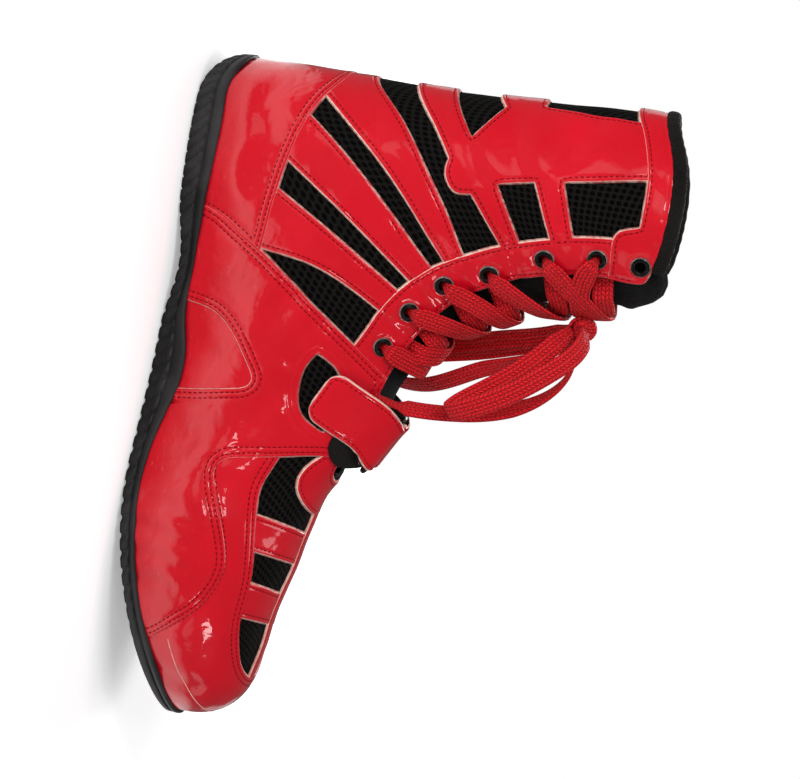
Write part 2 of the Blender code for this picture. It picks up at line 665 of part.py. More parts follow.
def make_upper():
    upper = add_object("upper", boot_surface("upper", 0.0), "mesh_black")
    solidify(upper, WALL, -1.0)
    boolean(upper, "DIFFERENCE", opening_cutter)
    boolean(upper, "DIFFERENCE", hole_cutter)


def make_tongue():
    surface = boot_surface("tongue", -WALL - TONGUE_GAP, TONGUE_FIRST_SECTION, TONGUE_HALF_RING)
    tongue = add_object("tongue", surface, "binding_black")
    solidify(tongue, TONGUE, -1.0)
    boolean(tongue, "DIFFERENCE", side_prism("tongue_tip", TONGUE_TIP + TONGUE_BEYOND, "both"))


def sole_side(x, z, side, step):
    """Outer y of the sole's wall: its outline from above, or the boot's side and the rim where wider."""
    middle = centre_curve(x)
    y = side * (plan_half_width(x) + step * min(plan_half_width(x) / SOLE_TAPER, 1.0))
    if z > foot_bed(x) and HEEL_ROLL_LENGTH < x < BALL_FLAT_END:
        y = side * max(side * y, side * (on_boot(x, z, side, 0.0).y - middle) + RIM + step)
    return middle + y


def make_outsole():
    rows = []
    for x in sole_stations():
        row = []
        for side in (-1, 1):
            wall = []
            for height, step in WALL_PROFILE:
                z = sole_bottom(x) + height * wall_curves[side](x)
                spread = 1 + step / (LENGTH / 2)
                wall.append(((x - LENGTH / 2) * spread + LENGTH / 2, sole_side(x, z, side, step), z))
            row += wall if side < 0 else reversed(wall)
        rows.append(row)
    outsole = add_object("outsole", loft("outsole", rows), "rubber_black")
    boolean(outsole, "DIFFERENCE", add_cutter("last_cutter", boot_surface("last_cutter", GAP, closed=True)))
    boolean(outsole, "DIFFERENCE", make_rib_cutter())


def make_rib_cutter():
    """Slanted ribs around the heel and upright gaps between the lugs of the forefoot."""
    mesh = bmesh.new()
    up = Vector((0.0, 0.0, 1.0))
    places = [(x, tilt) for first, last, pitch, tilt in RIB_ROWS for x in np.arange(first, last, pitch)]
    for x, tilt in places:
        for side in SIDES.values():
            ahead = sole_side(x + 1, 0, side, 0) - sole_side(x - 1, 0, side, 0)
            along = Vector((2.0, ahead, 0.0)).normalized()
            outward = along.cross(up) * -side
            height = RIB_SHARE * wall_curves[side](x)
            centre = Vector((x, sole_side(x, 0, side, 0), sole_bottom(x) + (height - RIB_UNDER) / 2))
            turn = Matrix((along, outward, up)).transposed() @ Matrix.Rotation(tilt, 3, "Y")
            size = Matrix.Diagonal((RIB_WIDTH, 2 * RIB_DEPTH, height + RIB_UNDER, 1))
            bmesh.ops.create_cube(mesh, size=1.0, matrix=Matrix.Translation(centre) @ turn.to_4x4() @ size)
    bmesh.ops.recalc_face_normals(mesh, faces=mesh.faces)
    return add_cutter("rib_cutter", finish_mesh("rib_cutter", mesh))


def make_insole():
    rows = []
    for x in (row[0] for row in FOOT_SECTIONS[INSOLE_FIRST_SECTION:INSOLE_LAST_SECTION + 1]):
        around = (x - INSOLE_CLEAR, x + INSOLE_CLEAR)
        half = min(plan_half_width(bed_to_plan(place)) * FEATHER for place in around)
        half = min(half - INSOLE_EDGE, plan_half_width(bed_to_plan(x)) * FEATHER - INSOLE_CLEAR)
        middle = centre_curve(bed_to_plan(x))
        low = foot_bed(x) + GAP
        rows.append([(x, middle - half, low), (x, middle + half, low),
                     (x, middle + half, low + INSOLE), (x, middle - half, low + INSOLE)])
    add_object("insole", loft("insole", rows), "insole_black")


def make_collar_binding():
    """Padded roll on the collar's edge, from the inner front corner round the back to the outer one."""
    middle = (BINDING_FRONT + BINDING_BACK) / 2
    path = []
    for turn in np.linspace(0.0, math.pi, BINDING_STEPS):
        x = middle + (BINDING_FRONT - middle) * math.cos(turn)
        path.append((x, collar_edge(x), -1))
    path += [(x, z, 1) for x, z, _ in reversed(path[:-1])]
    places = []
    for x, z, side in path:
        s, ring = locate(x, z)
        places.append((boot_point(s, side * ring), boot_normal(s, side * min(ring, BINDING_BACK_RING))))
    rows = []
    for i, (point, normal) in enumerate(places):
        along = (places[min(i + 1, len(places) - 1)][0] - places[max(i - 1, 0)][0]).normalized()
        up = along.cross(normal).normalized()
        up = up if up.z > 0 else -up
        slim = min(max((path[i][0] - BINDING_SLIM_FROM) / (BINDING_FRONT - BINDING_SLIM_FROM), 0.0), 1.0)
        inside = BINDING_INSIDE + (BINDING_INSIDE_FRONT - BINDING_INSIDE) * slim
        inner_half = tuple((-inside * share, rise) for share, rise in BINDING_INNER_HALF)
        rows.append([point + normal * out + up * rise for out, rise in BINDING_OUTER_HALF + inner_half])
    add_object("collar_binding", loft("collar_binding", rows), "binding_black")


def make_eyelets():
    mesh = bmesh.new()
    ring = [mesh.verts.new((radius, 0.0, height)) for radius, height in EYELET_PROFILE]
    for first, second in zip(ring, ring[1:] + ring[:1]):
        mesh.edges.new((first, second))
    bmesh.ops.scale(mesh, vec=(MM, MM, MM), verts=mesh.verts)
    data = bpy.data.meshes.new("eyelet")
    mesh.to_mesh(data)
    for side, sign in SIDES.items():
        for number, (x, z) in enumerate(EYELETS, 1):
            eyelet = add_object(f"eyelet_{side}_{number}", data, "metal_black")
            seat = Matrix.Translation(on_boot(x, z, sign, GAP + PANEL) * MM)
            eyelet.matrix_local = seat @ eyelet_turn(x, z, sign)
            turned = eyelet.modifiers.new("turned", "SCREW")
            turned.steps = EYELET_SIDES
            turned.render_steps = EYELET_SIDES
            turned.use_merge_vertices = True
            turned.merge_threshold = 0.00001


def ribbon(name, points, normals, width, thickness):
    """Flat band along points, with its broad side to the normals."""
    rows = []
    for i, (point, normal) in enumerate(zip(points, normals)):
        along = (points[min(i + 1, len(points) - 1)] - points[max(i - 1, 0)]).normalized()
        across = along.cross(normal).normalized() * (width / 2)
        lift = across.cross(along).normalized() * (thickness / 2)
        rows.append(band_corners(point, across, lift))
    return loft(name, rows)


def band_corners(point, across, lift):
    return [point + across + lift, point - across + lift, point - across - lift, point + across - lift]


def lace_path(start, end, middle_section, lift):
    """Points and normals of a lace that runs from one eyelet over the tongue to another."""
    points, normals = [], []
    for share in np.linspace(0.0, 1.0, LACE_POINTS):
        ring = start[1] + (end[1] - start[1]) * share
        s = start[0] + (end[0] - start[0]) * share
        hump = 1 - (2 * share - 1) ** 2
        s += (middle_section - (start[0] + end[0]) / 2) * hump
        normal = boot_normal(s, ring)
        height = LACE_LIFT_EYELET * (1 - hump) + LACE_LIFT_RIDGE * hump
        height += lift * (LACE_LAY_EYELET + (1 - LACE_LAY_EYELET) * hump)
        points.append(boot_point(s, ring) + normal * height)
        normals.append(normal)
    return points, normals


def make_lace_crossings():
    """Bottom bar, crossings and top bar of the lace, joined into one band."""
    rows = []
    for x, z in EYELETS[:LACED_EYELETS]:
        s, ring = locate(x, z)
        rows.append(((s, -ring), (s, ring)))
    bars = [(rows[0][0], rows[0][1], rows[0][0][0] + LACE_FIRST_BAR, 0.0)]
    for (inner, outer), (next_inner, next_outer) in zip(rows, rows[1:]):
        between = (inner[0] + next_inner[0]) / 2
        bars.append((inner, next_outer, between, LACE_LAY))
        bars.append((outer, next_inner, between, -LACE_LAY))
    bars.append((rows[-1][0], rows[-1][1], KNOT_SECTION, 0.0))
    for number, bar in enumerate(bars):
        data = ribbon(f"lace_bar_{number}", *lace_path(*bar), LACE_WIDTH, LACE_THICKNESS)
        if number:
            add_cutter(f"lace_bar_{number}", data, lace_bars)
        else:
            crossings = add_object("lace_crossings", data, "lace_red")
    joined = crossings.modifiers.new("joined", "BOOLEAN")
    joined.operation = "UNION"
    joined.solver = "EXACT"
    joined.operand_type = "COLLECTION"
    joined.collection = lace_bars


def ring_frame():
    """Middle of the strap's ring, the way its bars run, and the way out of the instep."""
    s = ridge_section(STRAP_RING_X)
    ahead = boot_point(s - 0.1, 0.0) - boot_point(s + 0.1, 0.0)
    bar = Vector((ahead.x, 0.0, ahead.z)).normalized()
    out = Vector((-bar.z, 0.0, bar.x))
    return boot_point(s, 0.0) + out * STRAP_RING_LIFT, bar, out


def make_strap(name, side, free_end, sewn_end):
    """Strap folded round one bar of the ring: free end outside, sewn end under it."""
    middle, bar, out = ring_frame()
    across = Vector((0.0, side, 0.0))
    turn_radius = STRAP_RING_WIRE + GAP + STRAP_THICKNESS / 2
    bar_place = STRAP_RING_SPACING / 2
    points = [on_boot(x, z, side, lift) for x, z, lift in free_end]
    points.append(middle + across * (bar_place + STRAP_FOLD_RUNS[0]) + out * turn_radius)
    for step in range(STRAP_FOLD_STEPS + 1):
        angle = math.pi * (0.5 + step / STRAP_FOLD_STEPS)
        sideways = bar_place + turn_radius * math.cos(angle)
        points.append(middle + across * sideways + out * turn_radius * math.sin(angle))
    points.append(middle + across * (bar_place + STRAP_FOLD_RUNS[1]) - out * turn_radius)
    points += [on_boot(x, z, side, lift) for x, z, lift in sewn_end]
    add_object(name, band(name, points, bar), "patent_red")


def band(name, points, bar):
    """Closed band through points, as wide as the strap, its width kept square to its run."""
    rows = []
    for i, point in enumerate(points):
        along = (points[min(i + 1, len(points) - 1)] - points[max(i - 1, 0)]).normalized()
        across = (bar - along * bar.dot(along)).normalized()
        lift = along.cross(across) * (STRAP_THICKNESS / 2)
        across *= STRAP_WIDTH / 2
        rows.append(band_corners(point, across, lift))
    return loft(name, rows)


def make_straps():
    make_strap("strap", -1, STRAP_FREE_END, STRAP_SEWN_END)
    make_strap("strap_keeper", 1, KEEPER_FREE_END, STRAP_SEWN_END)

    middle, bar, out = ring_frame()
    half_length = STRAP_RING_LENGTH / 2
    half_width = STRAP_RING_SPACING / 2
    curve = bpy.data.curves.new("strap_ring", "CURVE")
    curve.dimensions = "3D"
    curve.bevel_depth = STRAP_RING_WIRE * MM
    curve.bevel_resolution = 2
    spline = curve.splines.new("POLY")
    places = []
    for a, b in ((-1, -1), (1, -1), (1, 1), (-1, 1)):
        first = (a * half_length, b * (half_width - STRAP_RING_CORNER))
        second = (a * (half_length - STRAP_RING_CORNER), b * half_width)
        places += [first, second] if a * b > 0 else [second, first]
    spline.points.add(len(places) - 1)
    for point, (along, across) in zip(spline.points, places):
        point.co = (*((middle + bar * along + Vector((0.0, across, 0.0))) * MM), 1.0)
    spline.use_cyclic_u = True
    add_object("strap_ring", curve, "metal_black")


def smooth_route(points, count):
    """Evenly spread points on a smooth curve through the route's own points."""
    points = np.array(points, float)
    lengths = np.concatenate(([0.0], np.cumsum(np.linalg.norm(np.diff(points, axis=0), axis=1))))
    curves = [Spline(lengths, axis) for axis in points.T]
    return [tuple(curve(place) for curve in curves) for place in np.linspace(0.0, lengths[-1], count)]


# Free runs of the lace, measured from the middle of the knot: name, points of the route.
LACE_ROUTES = (
    ("lace_loop_inner", ((0.5, -8.4, 0.9), (3.5, -15.0, 2.5), (10.0, -24.0, 0.5), (18.5, -32.0, -7.5),
                         (27.5, -37.0, -18.5), (35.5, -39.0, -31.0), (41.0, -36.5, -42.0),
                         (42.5, -30.5, -46.5), (40.0, -24.5, -45.0), (33.5, -20.0, -37.0),
                         (25.0, -17.5, -26.0), (16.5, -14.5, -17.0), (8.5, -10.5, -10.0), (1.2, -6.5, -4.2))),
    ("lace_loop_outer", ((0.5, 8.4, 0.9), (1.5, 14.0, 1.0), (4.5, 22.5, -3.0), (9.0, 30.0, -14.0),
                         (14.0, 36.0, -29.0), (19.0, 39.0, -45.0), (22.5, 38.5, -59.5),
                         (23.0, 35.0, -67.0), (20.5, 31.0, -66.0), (17.0, 27.5, -55.0),
                         (12.5, 22.5, -39.0), (8.0, 16.5, -22.0), (4.0, 10.5, -10.5), (1.2, 6.5, -4.2))),
    ("lace_end_inner", ((5.4, -2.7, -1.4), (10.5, -4.2, -1.0), (19.0, -6.5, -1.6), (29.0, -9.0, -8.0),
                        (37.0, -11.5, -19.5), (42.0, -13.5, -33.0), (44.5, -15.0, -47.0),
                        (45.5, -16.5, -60.0), (45.0, -18.0, -71.0), (42.4, -20.4, -80.6))),
    ("lace_end_outer", ((5.4, 2.7, -1.4), (9.5, 4.0, -4.2), (13.5, 6.0, -13.0), (19.5, 8.5, -27.0),
                        (25.5, 11.5, -41.0), (32.5, 16.0, -54.0), (37.5, 23.0, -66.0),
                        (39.0, 31.0, -78.0), (38.0, 37.5, -90.0), (36.5, 41.5, -104.0))),
)
CORD_NODES = ["lace_knot"] + [name for name, _ in LACE_ROUTES]


def make_lace_cords():
    """Knot, loops and ends of the bow."""
    mesh = bmesh.new()
    bmesh.ops.create_uvsphere(mesh, u_segments=KNOT_SIDES[0], v_segments=KNOT_SIDES[1], radius=1.0)
    bmesh.ops.scale(mesh, vec=KNOT_SIZE, verts=mesh.verts)
    knot_centre = boot_point(KNOT_SECTION, 0.0) + boot_normal(KNOT_SECTION, 0.0) * KNOT_LIFT
    bmesh.ops.translate(mesh, vec=knot_centre, verts=mesh.verts)
    add_object("lace_knot", finish_mesh("lace_knot", mesh), "lace_red")
    for name, route in LACE_ROUTES:
        curve = bpy.data.curves.new(name, "CURVE")
        curve.dimensions = "3D"
        curve.bevel_depth = LACE_CORD_RADIUS * MM
        curve.bevel_resolution = 2
        curve.use_fill_caps = True
        spline = curve.splines.new("POLY")
        points = smooth_route(route, LACE_CORD_POINTS)
        spline.points.add(len(points) - 1)
        for point, place in zip(spline.points, points):
            point.co = (*((knot_centre + Vector(place)) * MM), 1.0)
        add_object(name, curve, "lace_red")


def centre_on_base():
    """Move the shoe so that the middle of its base, without the free lace, is the origin."""
    bpy.context.view_layer.update()
    graph = bpy.context.evaluated_depsgraph_get()
    points = []
    for obj in parts.objects:
        if obj.type != "EMPTY" and obj.name not in CORD_NODES:
            seen = obj.evaluated_get(graph)
            points += [seen.matrix_world @ vertex.co for vertex in seen.to_mesh().vertices]
            seen.to_mesh_clear()
    low = [min(point[axis] for point in points) for axis in range(3)]
    high = [max(point[axis] for point in points) for axis in range(3)]
    root.location = (-(low[0] + high[0]) / 2, -(low[1] + high[1]) / 2, -low[2])


make_upper()
make_outsole()
make_insole()
make_tongue()
make_side_panels()
make_toe_panels()
make_collar_binding()
make_eyelets()
make_straps()
make_lace_crossings()
make_lace_cords()
centre_on_base()
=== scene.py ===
"""Red patent boxing shoe with black mesh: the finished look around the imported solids."""
import collections
import itertools
import math

import bmesh
import bpy
import numpy as np
from mathutils import Matrix, Vector, geometry, kdtree

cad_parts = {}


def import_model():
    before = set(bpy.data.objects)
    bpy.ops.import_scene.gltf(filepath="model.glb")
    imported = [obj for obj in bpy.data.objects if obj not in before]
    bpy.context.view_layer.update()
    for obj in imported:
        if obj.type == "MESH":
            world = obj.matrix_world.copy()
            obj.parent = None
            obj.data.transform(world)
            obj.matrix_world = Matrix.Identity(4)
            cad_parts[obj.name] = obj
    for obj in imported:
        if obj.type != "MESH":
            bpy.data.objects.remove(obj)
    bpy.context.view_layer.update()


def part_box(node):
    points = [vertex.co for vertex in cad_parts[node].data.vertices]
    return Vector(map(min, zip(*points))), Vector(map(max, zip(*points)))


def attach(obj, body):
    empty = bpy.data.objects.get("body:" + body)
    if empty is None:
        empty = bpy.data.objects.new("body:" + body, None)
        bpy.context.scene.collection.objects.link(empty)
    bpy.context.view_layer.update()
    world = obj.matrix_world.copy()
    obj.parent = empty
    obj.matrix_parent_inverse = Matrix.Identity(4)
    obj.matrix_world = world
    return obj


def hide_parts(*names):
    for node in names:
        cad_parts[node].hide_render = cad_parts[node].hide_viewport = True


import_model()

MM = 0.001
SEAM_REACH = 0.00002

# The shoe's own sizes in millimetres: x from heel to toe, y to the outer side, z up.
LENGTH = 290.0
WALL = 2.0
RIM = 3.0
BED_START = 2.4
BED_END = 287.0
FEATHER = 0.945
LARGEST_FEATHER = 0.99
BED_GAP = 0.3
HEEL_ROLL_LENGTH = 20.0
HEEL_ROLL_HEIGHT = 15.0
HEEL_LIP = 13.0
HEEL_LIP_RISE = 3.6
HEEL_FLAT_END = 62.0
BALL_FLAT_START = 122.0
BALL_FLAT_END = 178.0
ARCH_RISE = 3.5
TOE_SPRING = 27.0
TOE_SPRING_POWER = 1.8

# Outline of the sole from above: x, centre y, half width.
PLAN = (
    (0.0, 0.0, 0.0), (5.0, 0.0, 17.2), (15.0, 0.0, 26.4), (35.0, 0.0, 31.5), (60.0, 0.5, 31.5),
    (90.0, 2.7, 30.8), (120.0, 4.5, 33.5), (150.0, 4.5, 39.0), (180.0, 3.0, 46.0), (205.0, 1.0, 49.0),
    (225.0, -0.7, 47.2), (245.0, -2.2, 42.2), (262.0, -4.0, 34.5), (275.0, -5.5, 25.5),
    (284.0, -6.8, 16.2), (290.0, -8.0, 0.0),
)
# Sole thickness under the foot and height of its side wall: x, thickness, inner wall, outer wall.
SOLE = (
    (0.0, 3.4, 2.4, 2.4), (4.0, 3.5, 9.4, 9.4), (10.0, 6.2, 11.8, 11.8), (20.0, 8.0, 13.0, 13.0),
    (60.0, 8.0, 12.4, 12.0), (72.0, 7.0, 11.0, 10.5), (84.0, 5.6, 8.5, 9.2), (104.0, 5.2, 8.5, 8.6),
    (116.0, 5.2, 11.0, 8.6), (128.0, 4.9, 14.2, 8.6), (145.0, 4.5, 14.4, 8.6), (158.0, 4.5, 11.4, 8.4),
    (168.0, 4.5, 9.4, 8.2), (180.0, 4.5, 8.1, 8.0), (205.0, 4.5, 7.6, 7.6), (242.0, 4.5, 7.6, 7.6),
    (271.0, 4.5, 8.0, 8.0), (290.0, 4.0, 6.4, 6.4),
)
# Sections that stand on the sole: bottom x, ridge x, ridge z, half width, ridge y, low, high, roundness.
FOOT_SECTIONS = (
    (287.0, 287.2, 40.0, 0.0, -8.0, 0.40, 0.40, 2.2), (285.0, 285.0, 46.3, 10.0, -7.7, 0.40, 0.40, 2.2),
    (281.0, 281.0, 53.0, 16.8, -7.2, 0.40, 0.40, 2.2), (274.0, 274.0, 58.5, 24.2, -6.6, 0.38, 0.38, 2.2),
    (263.0, 263.0, 61.7, 32.2, -6.0, 0.36, 0.36, 2.2), (248.0, 248.0, 64.0, 39.6, -5.6, 0.33, 0.33, 2.1),
    (232.0, 232.0, 66.8, 44.8, -5.2, 0.30, 0.30, 2.0), (215.0, 215.0, 71.4, 47.6, -4.6, 0.28, 0.28, 1.9),
    (200.0, 200.0, 74.0, 48.0, -4.0, 0.26, 0.28, 1.85), (187.0, 187.0, 77.2, 46.4, -3.2, 0.25, 0.28, 1.8),
    (177.0, 177.0, 81.8, 44.2, -2.5, 0.25, 0.29, 1.75), (158.0, 164.0, 92.4, 40.0, -1.5, 0.26, 0.30, 1.75),
    (135.0, 150.0, 100.6, 37.0, -0.6, 0.28, 0.32, 1.75), (108.0, 133.0, 106.0, 34.6, 0.0, 0.30, 0.34, 1.8),
    (80.0, 117.0, 113.0, 33.4, 0.0, 0.32, 0.36, 1.8), (50.0, 105.5, 123.3, 33.0, 0.0, 0.33, 0.38, 1.8),
    (24.0, 98.5, 132.5, 32.5, 0.0, 0.34, 0.40, 1.8), (10.0, 95.0, 139.0, 32.3, 0.0, 0.36, 0.42, 1.85),
    (5.0, 93.3, 142.5, 32.2, 0.0, 0.37, 0.43, 1.85),
)
# Sections that start on the back line: back x, back z, front x, front z, half width, low, high, roundness.
SHAFT_SECTIONS = (
    (2.4, 12.0, 92.0, 145.5, 32.2, 0.38, 0.44, 1.9), (1.7, 22.0, 90.5, 149.0, 32.2, 0.39, 0.44, 1.9),
    (1.5, 36.0, 88.5, 154.5, 32.0, 0.40, 0.45, 1.9), (1.5, 56.0, 86.0, 163.0, 31.5, 0.41, 0.46, 1.9),
    (1.5, 80.0, 84.0, 171.5, 31.0, 0.43, 0.47, 1.9), (1.5, 105.0, 82.9, 180.0, 30.8, 0.44, 0.48, 1.95),
    (1.2, 130.0, 83.2, 188.5, 30.8, 0.46, 0.49, 2.0), (-0.5, 155.0, 84.2, 196.5, 31.0, 0.47, 0.50, 2.0),
    (-2.0, 180.0, 85.2, 204.0, 31.2, 0.48, 0.50, 2.0), (-1.4, 197.0, 85.8, 209.5, 31.3, 0.48, 0.50, 2.0),
    (-1.0, 214.0, 86.0, 215.0, 31.5, 0.48, 0.50, 2.0),
)
FOOT_ROWS = len(FOOT_SECTIONS)
LAST_SECTION = FOOT_ROWS + len(SHAFT_SECTIONS) - 1


class Spline:
    """Natural cubic spline through the rows of a table, one curve per column."""

    def __init__(self, knots, values):
        self.knots = np.array(knots, float)
        self.values = np.array(values, float)
        size = len(self.knots)
        step = np.diff(self.knots)
        flat = self.values.reshape(size, -1)
        slope = np.diff(flat, axis=0) / step[:, None]
        matrix = np.eye(size)
        right = np.zeros(flat.shape)
        for i in range(1, size - 1):
            matrix[i, i - 1:i + 2] = step[i - 1], 2 * (step[i - 1] + step[i]), step[i]
            right[i] = 6 * (slope[i] - slope[i - 1])
        self.bend = np.linalg.solve(matrix, right).reshape(self.values.shape)

    def __call__(self, place):
        place = np.clip(np.asarray(place, float), self.knots[0], self.knots[-1])
        i = np.clip(np.searchsorted(self.knots, place) - 1, 0, len(self.knots) - 2)
        width = self.knots[i + 1] - self.knots[i]
        after = (place - self.knots[i]) / width
        if self.values.ndim > 1:
            after = after[..., None]
            width = width[..., None]
        before = 1 - after
        straight = before * self.values[i] + after * self.values[i + 1]
        curve = (before ** 3 - before) * self.bend[i] + (after ** 3 - after) * self.bend[i + 1]
        return straight + curve * width * width / 6


def columns(table):
    return [np.array(column) for column in zip(*table)]


plan_x, plan_centre, plan_half = columns(PLAN)
centre_curve = Spline(plan_x, plan_centre)
half_squared_curve = Spline(plan_x, plan_half ** 2)
sole_x, sole_thickness, sole_inner_wall, sole_outer_wall = columns(SOLE)
thickness_curve = Spline(sole_x, sole_thickness)
wall_curves = {-1: Spline(sole_x, sole_inner_wall), 1: Spline(sole_x, sole_outer_wall)}


def plan_half_width(x):
    inside = (x > 0) & (x < LENGTH)
    return np.where(inside, np.sqrt(np.maximum(half_squared_curve(x), 0.0)), 0.0)


def sole_bottom(x):
    x = np.asarray(x, float)
    roll = np.clip((HEEL_ROLL_LENGTH - np.maximum(x, 0.0)) / HEEL_ROLL_LENGTH, 0.0, 1.0)
    arch = np.clip((x - HEEL_FLAT_END) / (BALL_FLAT_START - HEEL_FLAT_END), 0.0, 1.0)
    toe = np.clip((x - BALL_FLAT_END) / (LENGTH - BALL_FLAT_END), 0.0, 1.0)
    heel_rise = HEEL_ROLL_HEIGHT * (1 - np.sqrt(1 - roll * roll))
    return heel_rise + ARCH_RISE * np.sin(math.pi * arch) ** 2 + TOE_SPRING * toe ** TOE_SPRING_POWER


def wall_height(side, x):
    """Height of the sole's side wall; round the heel its lip climbs evenly to the back."""
    heel_lip = HEEL_LIP + HEEL_LIP_RISE * (1 - x / HEEL_ROLL_LENGTH) ** 2
    return np.where(x < HEEL_ROLL_LENGTH, heel_lip - sole_bottom(x), wall_curves[side](x))


def foot_bed(x):
    return sole_bottom(x) + thickness_curve(x)


def bed_to_plan(x):
    return (x - BED_START) * LENGTH / (BED_END - BED_START)


def section_table():
    rows = []
    for bottom_x, ridge_x, ridge_z, half, ridge_y, low, high, power in FOOT_SECTIONS:
        bottom_z = float(foot_bed(bottom_x)) + BED_GAP
        bottom_y = float(centre_curve(bed_to_plan(bottom_x)))
        rows.append((bottom_x, bottom_z, ridge_x, ridge_z, half ** 2, bottom_y, ridge_y, low, high, power))
    for back_x, back_z, front_x, front_z, half, low, high, power in SHAFT_SECTIONS:
        rows.append((back_x, back_z, front_x, front_z, half ** 2, 0.0, 0.0, low, high, power))
    return rows


section_curve = Spline(range(LAST_SECTION + 1), section_table())


def boot(s, ring):
    """Points on the boot: s counts sections from the toe, ring runs from -1, inner bottom, over 0 to 1."""
    s, ring = np.broadcast_arrays(np.asarray(s, float), np.asarray(ring, float))
    row = np.moveaxis(section_curve(s), -1, 0)
    bottom_x, bottom_z, ridge_x, ridge_z, half_squared, bottom_y, ridge_y, low, high, power = row
    half = np.sqrt(np.maximum(half_squared, 0.0))
    share = (1 + np.cos(np.pi * ring)) / 2
    joint = FEATHER * plan_half_width(bed_to_plan(bottom_x)) / np.maximum(half, 1e-6)
    feather = np.where(s < FOOT_ROWS, np.minimum(joint, LARGEST_FEATHER), 0.0)
    below = np.clip(1 - share / low, 0.0, 1.0)
    width = half * np.sqrt(np.maximum(1 - (1 - feather ** 2) * below ** 2, 0.0))
    turn = np.clip((share - high) / (1 - high), 0.0, 1.0)
    width = width * np.maximum(1 - turn ** power, 0.0) ** (1 / power)
    middle = bottom_y + (ridge_y - bottom_y) * share
    x = bottom_x + (ridge_x - bottom_x) * share
    z = bottom_z + (ridge_z - bottom_z) * share
    return np.stack((x, middle + np.where(ring > 0, 1.0, -1.0) * width, z), axis=-1)


def unit(vectors):
    return vectors / np.maximum(np.linalg.norm(vectors, axis=-1, keepdims=True), 1e-12)


def run_lengths(points):
    """Length along a line at each of its points."""
    return np.concatenate(([0.0], np.cumsum(np.linalg.norm(np.diff(points, axis=0), axis=1))))


def wrapped(ring):
    return (ring + 1) % 2 - 1


SECTION_STEP = 0.02
RING_STEP = 0.02
HEEL_SECTION = 17.0
FOOT_RING_LIMIT = 0.97
HALVINGS = 45
SEARCH_STEPS = 40
LARGEST_SECTION_STEP = 0.3
LARGEST_RING_STEP = 0.05
SMALLEST_AREA = 1e-3


def boot_frame(s, ring):
    """Change of the boot's point per section and per ring, and the outward normal."""
    s, ring = np.broadcast_arrays(np.asarray(s, float), np.asarray(ring, float))
    limit = np.where(s < HEEL_SECTION, FOOT_RING_LIMIT, 1.0)
    ring = np.clip(ring, -limit, limit)
    low = np.maximum(s - SECTION_STEP, 0.0)
    high = np.minimum(s + SECTION_STEP, LAST_SECTION)
    along = (boot(high, ring) - boot(low, ring)) / (high - low)[..., None]
    around = (boot(s, wrapped(ring + RING_STEP)) - boot(s, wrapped(ring - RING_STEP))) / (2 * RING_STEP)
    return along, around, unit(np.cross(around, along))


def locate(x, z):
    """Section and ring place on the outer side that show at (x, z) from the side."""
    x, z = np.asarray(x, float), np.asarray(z, float)
    first = np.zeros(x.shape)
    last = np.full(x.shape, float(LAST_SECTION))
    for _ in range(HALVINGS):
        s = (first + last) / 2
        row = section_curve(s)
        reach_x, reach_z = row[..., 2] - row[..., 0], row[..., 3] - row[..., 1]
        ahead = reach_x * (z - row[..., 1]) - reach_z * (x - row[..., 0]) > 0
        first = np.where(ahead, s, first)
        last = np.where(ahead, last, s)
    share = ((x - row[..., 0]) * reach_x + (z - row[..., 1]) * reach_z) / (reach_x ** 2 + reach_z ** 2)
    return s, np.arccos(np.clip(2 * share - 1, -1.0, 1.0)) / np.pi


def locate_above(x, y):
    """Section and ring place on top of the forefoot that show at (x, y) from above."""
    x, y = np.asarray(x, float), np.asarray(y, float)
    s = np.interp(-x, [-row[1] for row in FOOT_SECTIONS], range(FOOT_ROWS))
    ring = np.clip((y + 5) / 90, -0.6, 0.6)
    ring = np.where(np.abs(ring) < 0.02, 0.02, ring)
    for _ in range(SEARCH_STEPS):
        point = boot(s, ring)
        along, around, _ = boot_frame(s, ring)
        miss_x, miss_y = x - point[..., 0], y - point[..., 1]
        area = along[..., 0] * around[..., 1] - along[..., 1] * around[..., 0]
        area = np.where(np.abs(area) < SMALLEST_AREA, SMALLEST_AREA, area)
        step_s = (miss_x * around[..., 1] - miss_y * around[..., 0]) / area
        step_ring = (along[..., 0] * miss_y - along[..., 1] * miss_x) / area
        step_s = np.clip(step_s, -LARGEST_SECTION_STEP, LARGEST_SECTION_STEP)
        step_ring = np.clip(step_ring, -LARGEST_RING_STEP, LARGEST_RING_STEP)
        s = np.clip(s + step_s, 0.01, LAST_SECTION)
        ring = np.clip(ring + step_ring, -FOOT_RING_LIMIT, FOOT_RING_LIMIT)
    return s, ring


# Chart of the boot's skin that is near to true length: along from the toe, and around.
AROUND = 110.0
CHART_RING = 0.55
CHART_ROWS = 2400
chart_s = np.linspace(0.0, math.sqrt(LAST_SECTION), CHART_ROWS) ** 2
chart_points = boot(chart_s, np.full(chart_s.shape, CHART_RING))
chart_u = run_lengths(chart_points)


def to_chart(s, ring):
    return np.stack((np.interp(s, chart_s, chart_u), np.asarray(ring) * AROUND), axis=-1)


def from_chart(uv):
    return np.interp(uv[..., 0], chart_u, chart_s), uv[..., 1] / AROUND


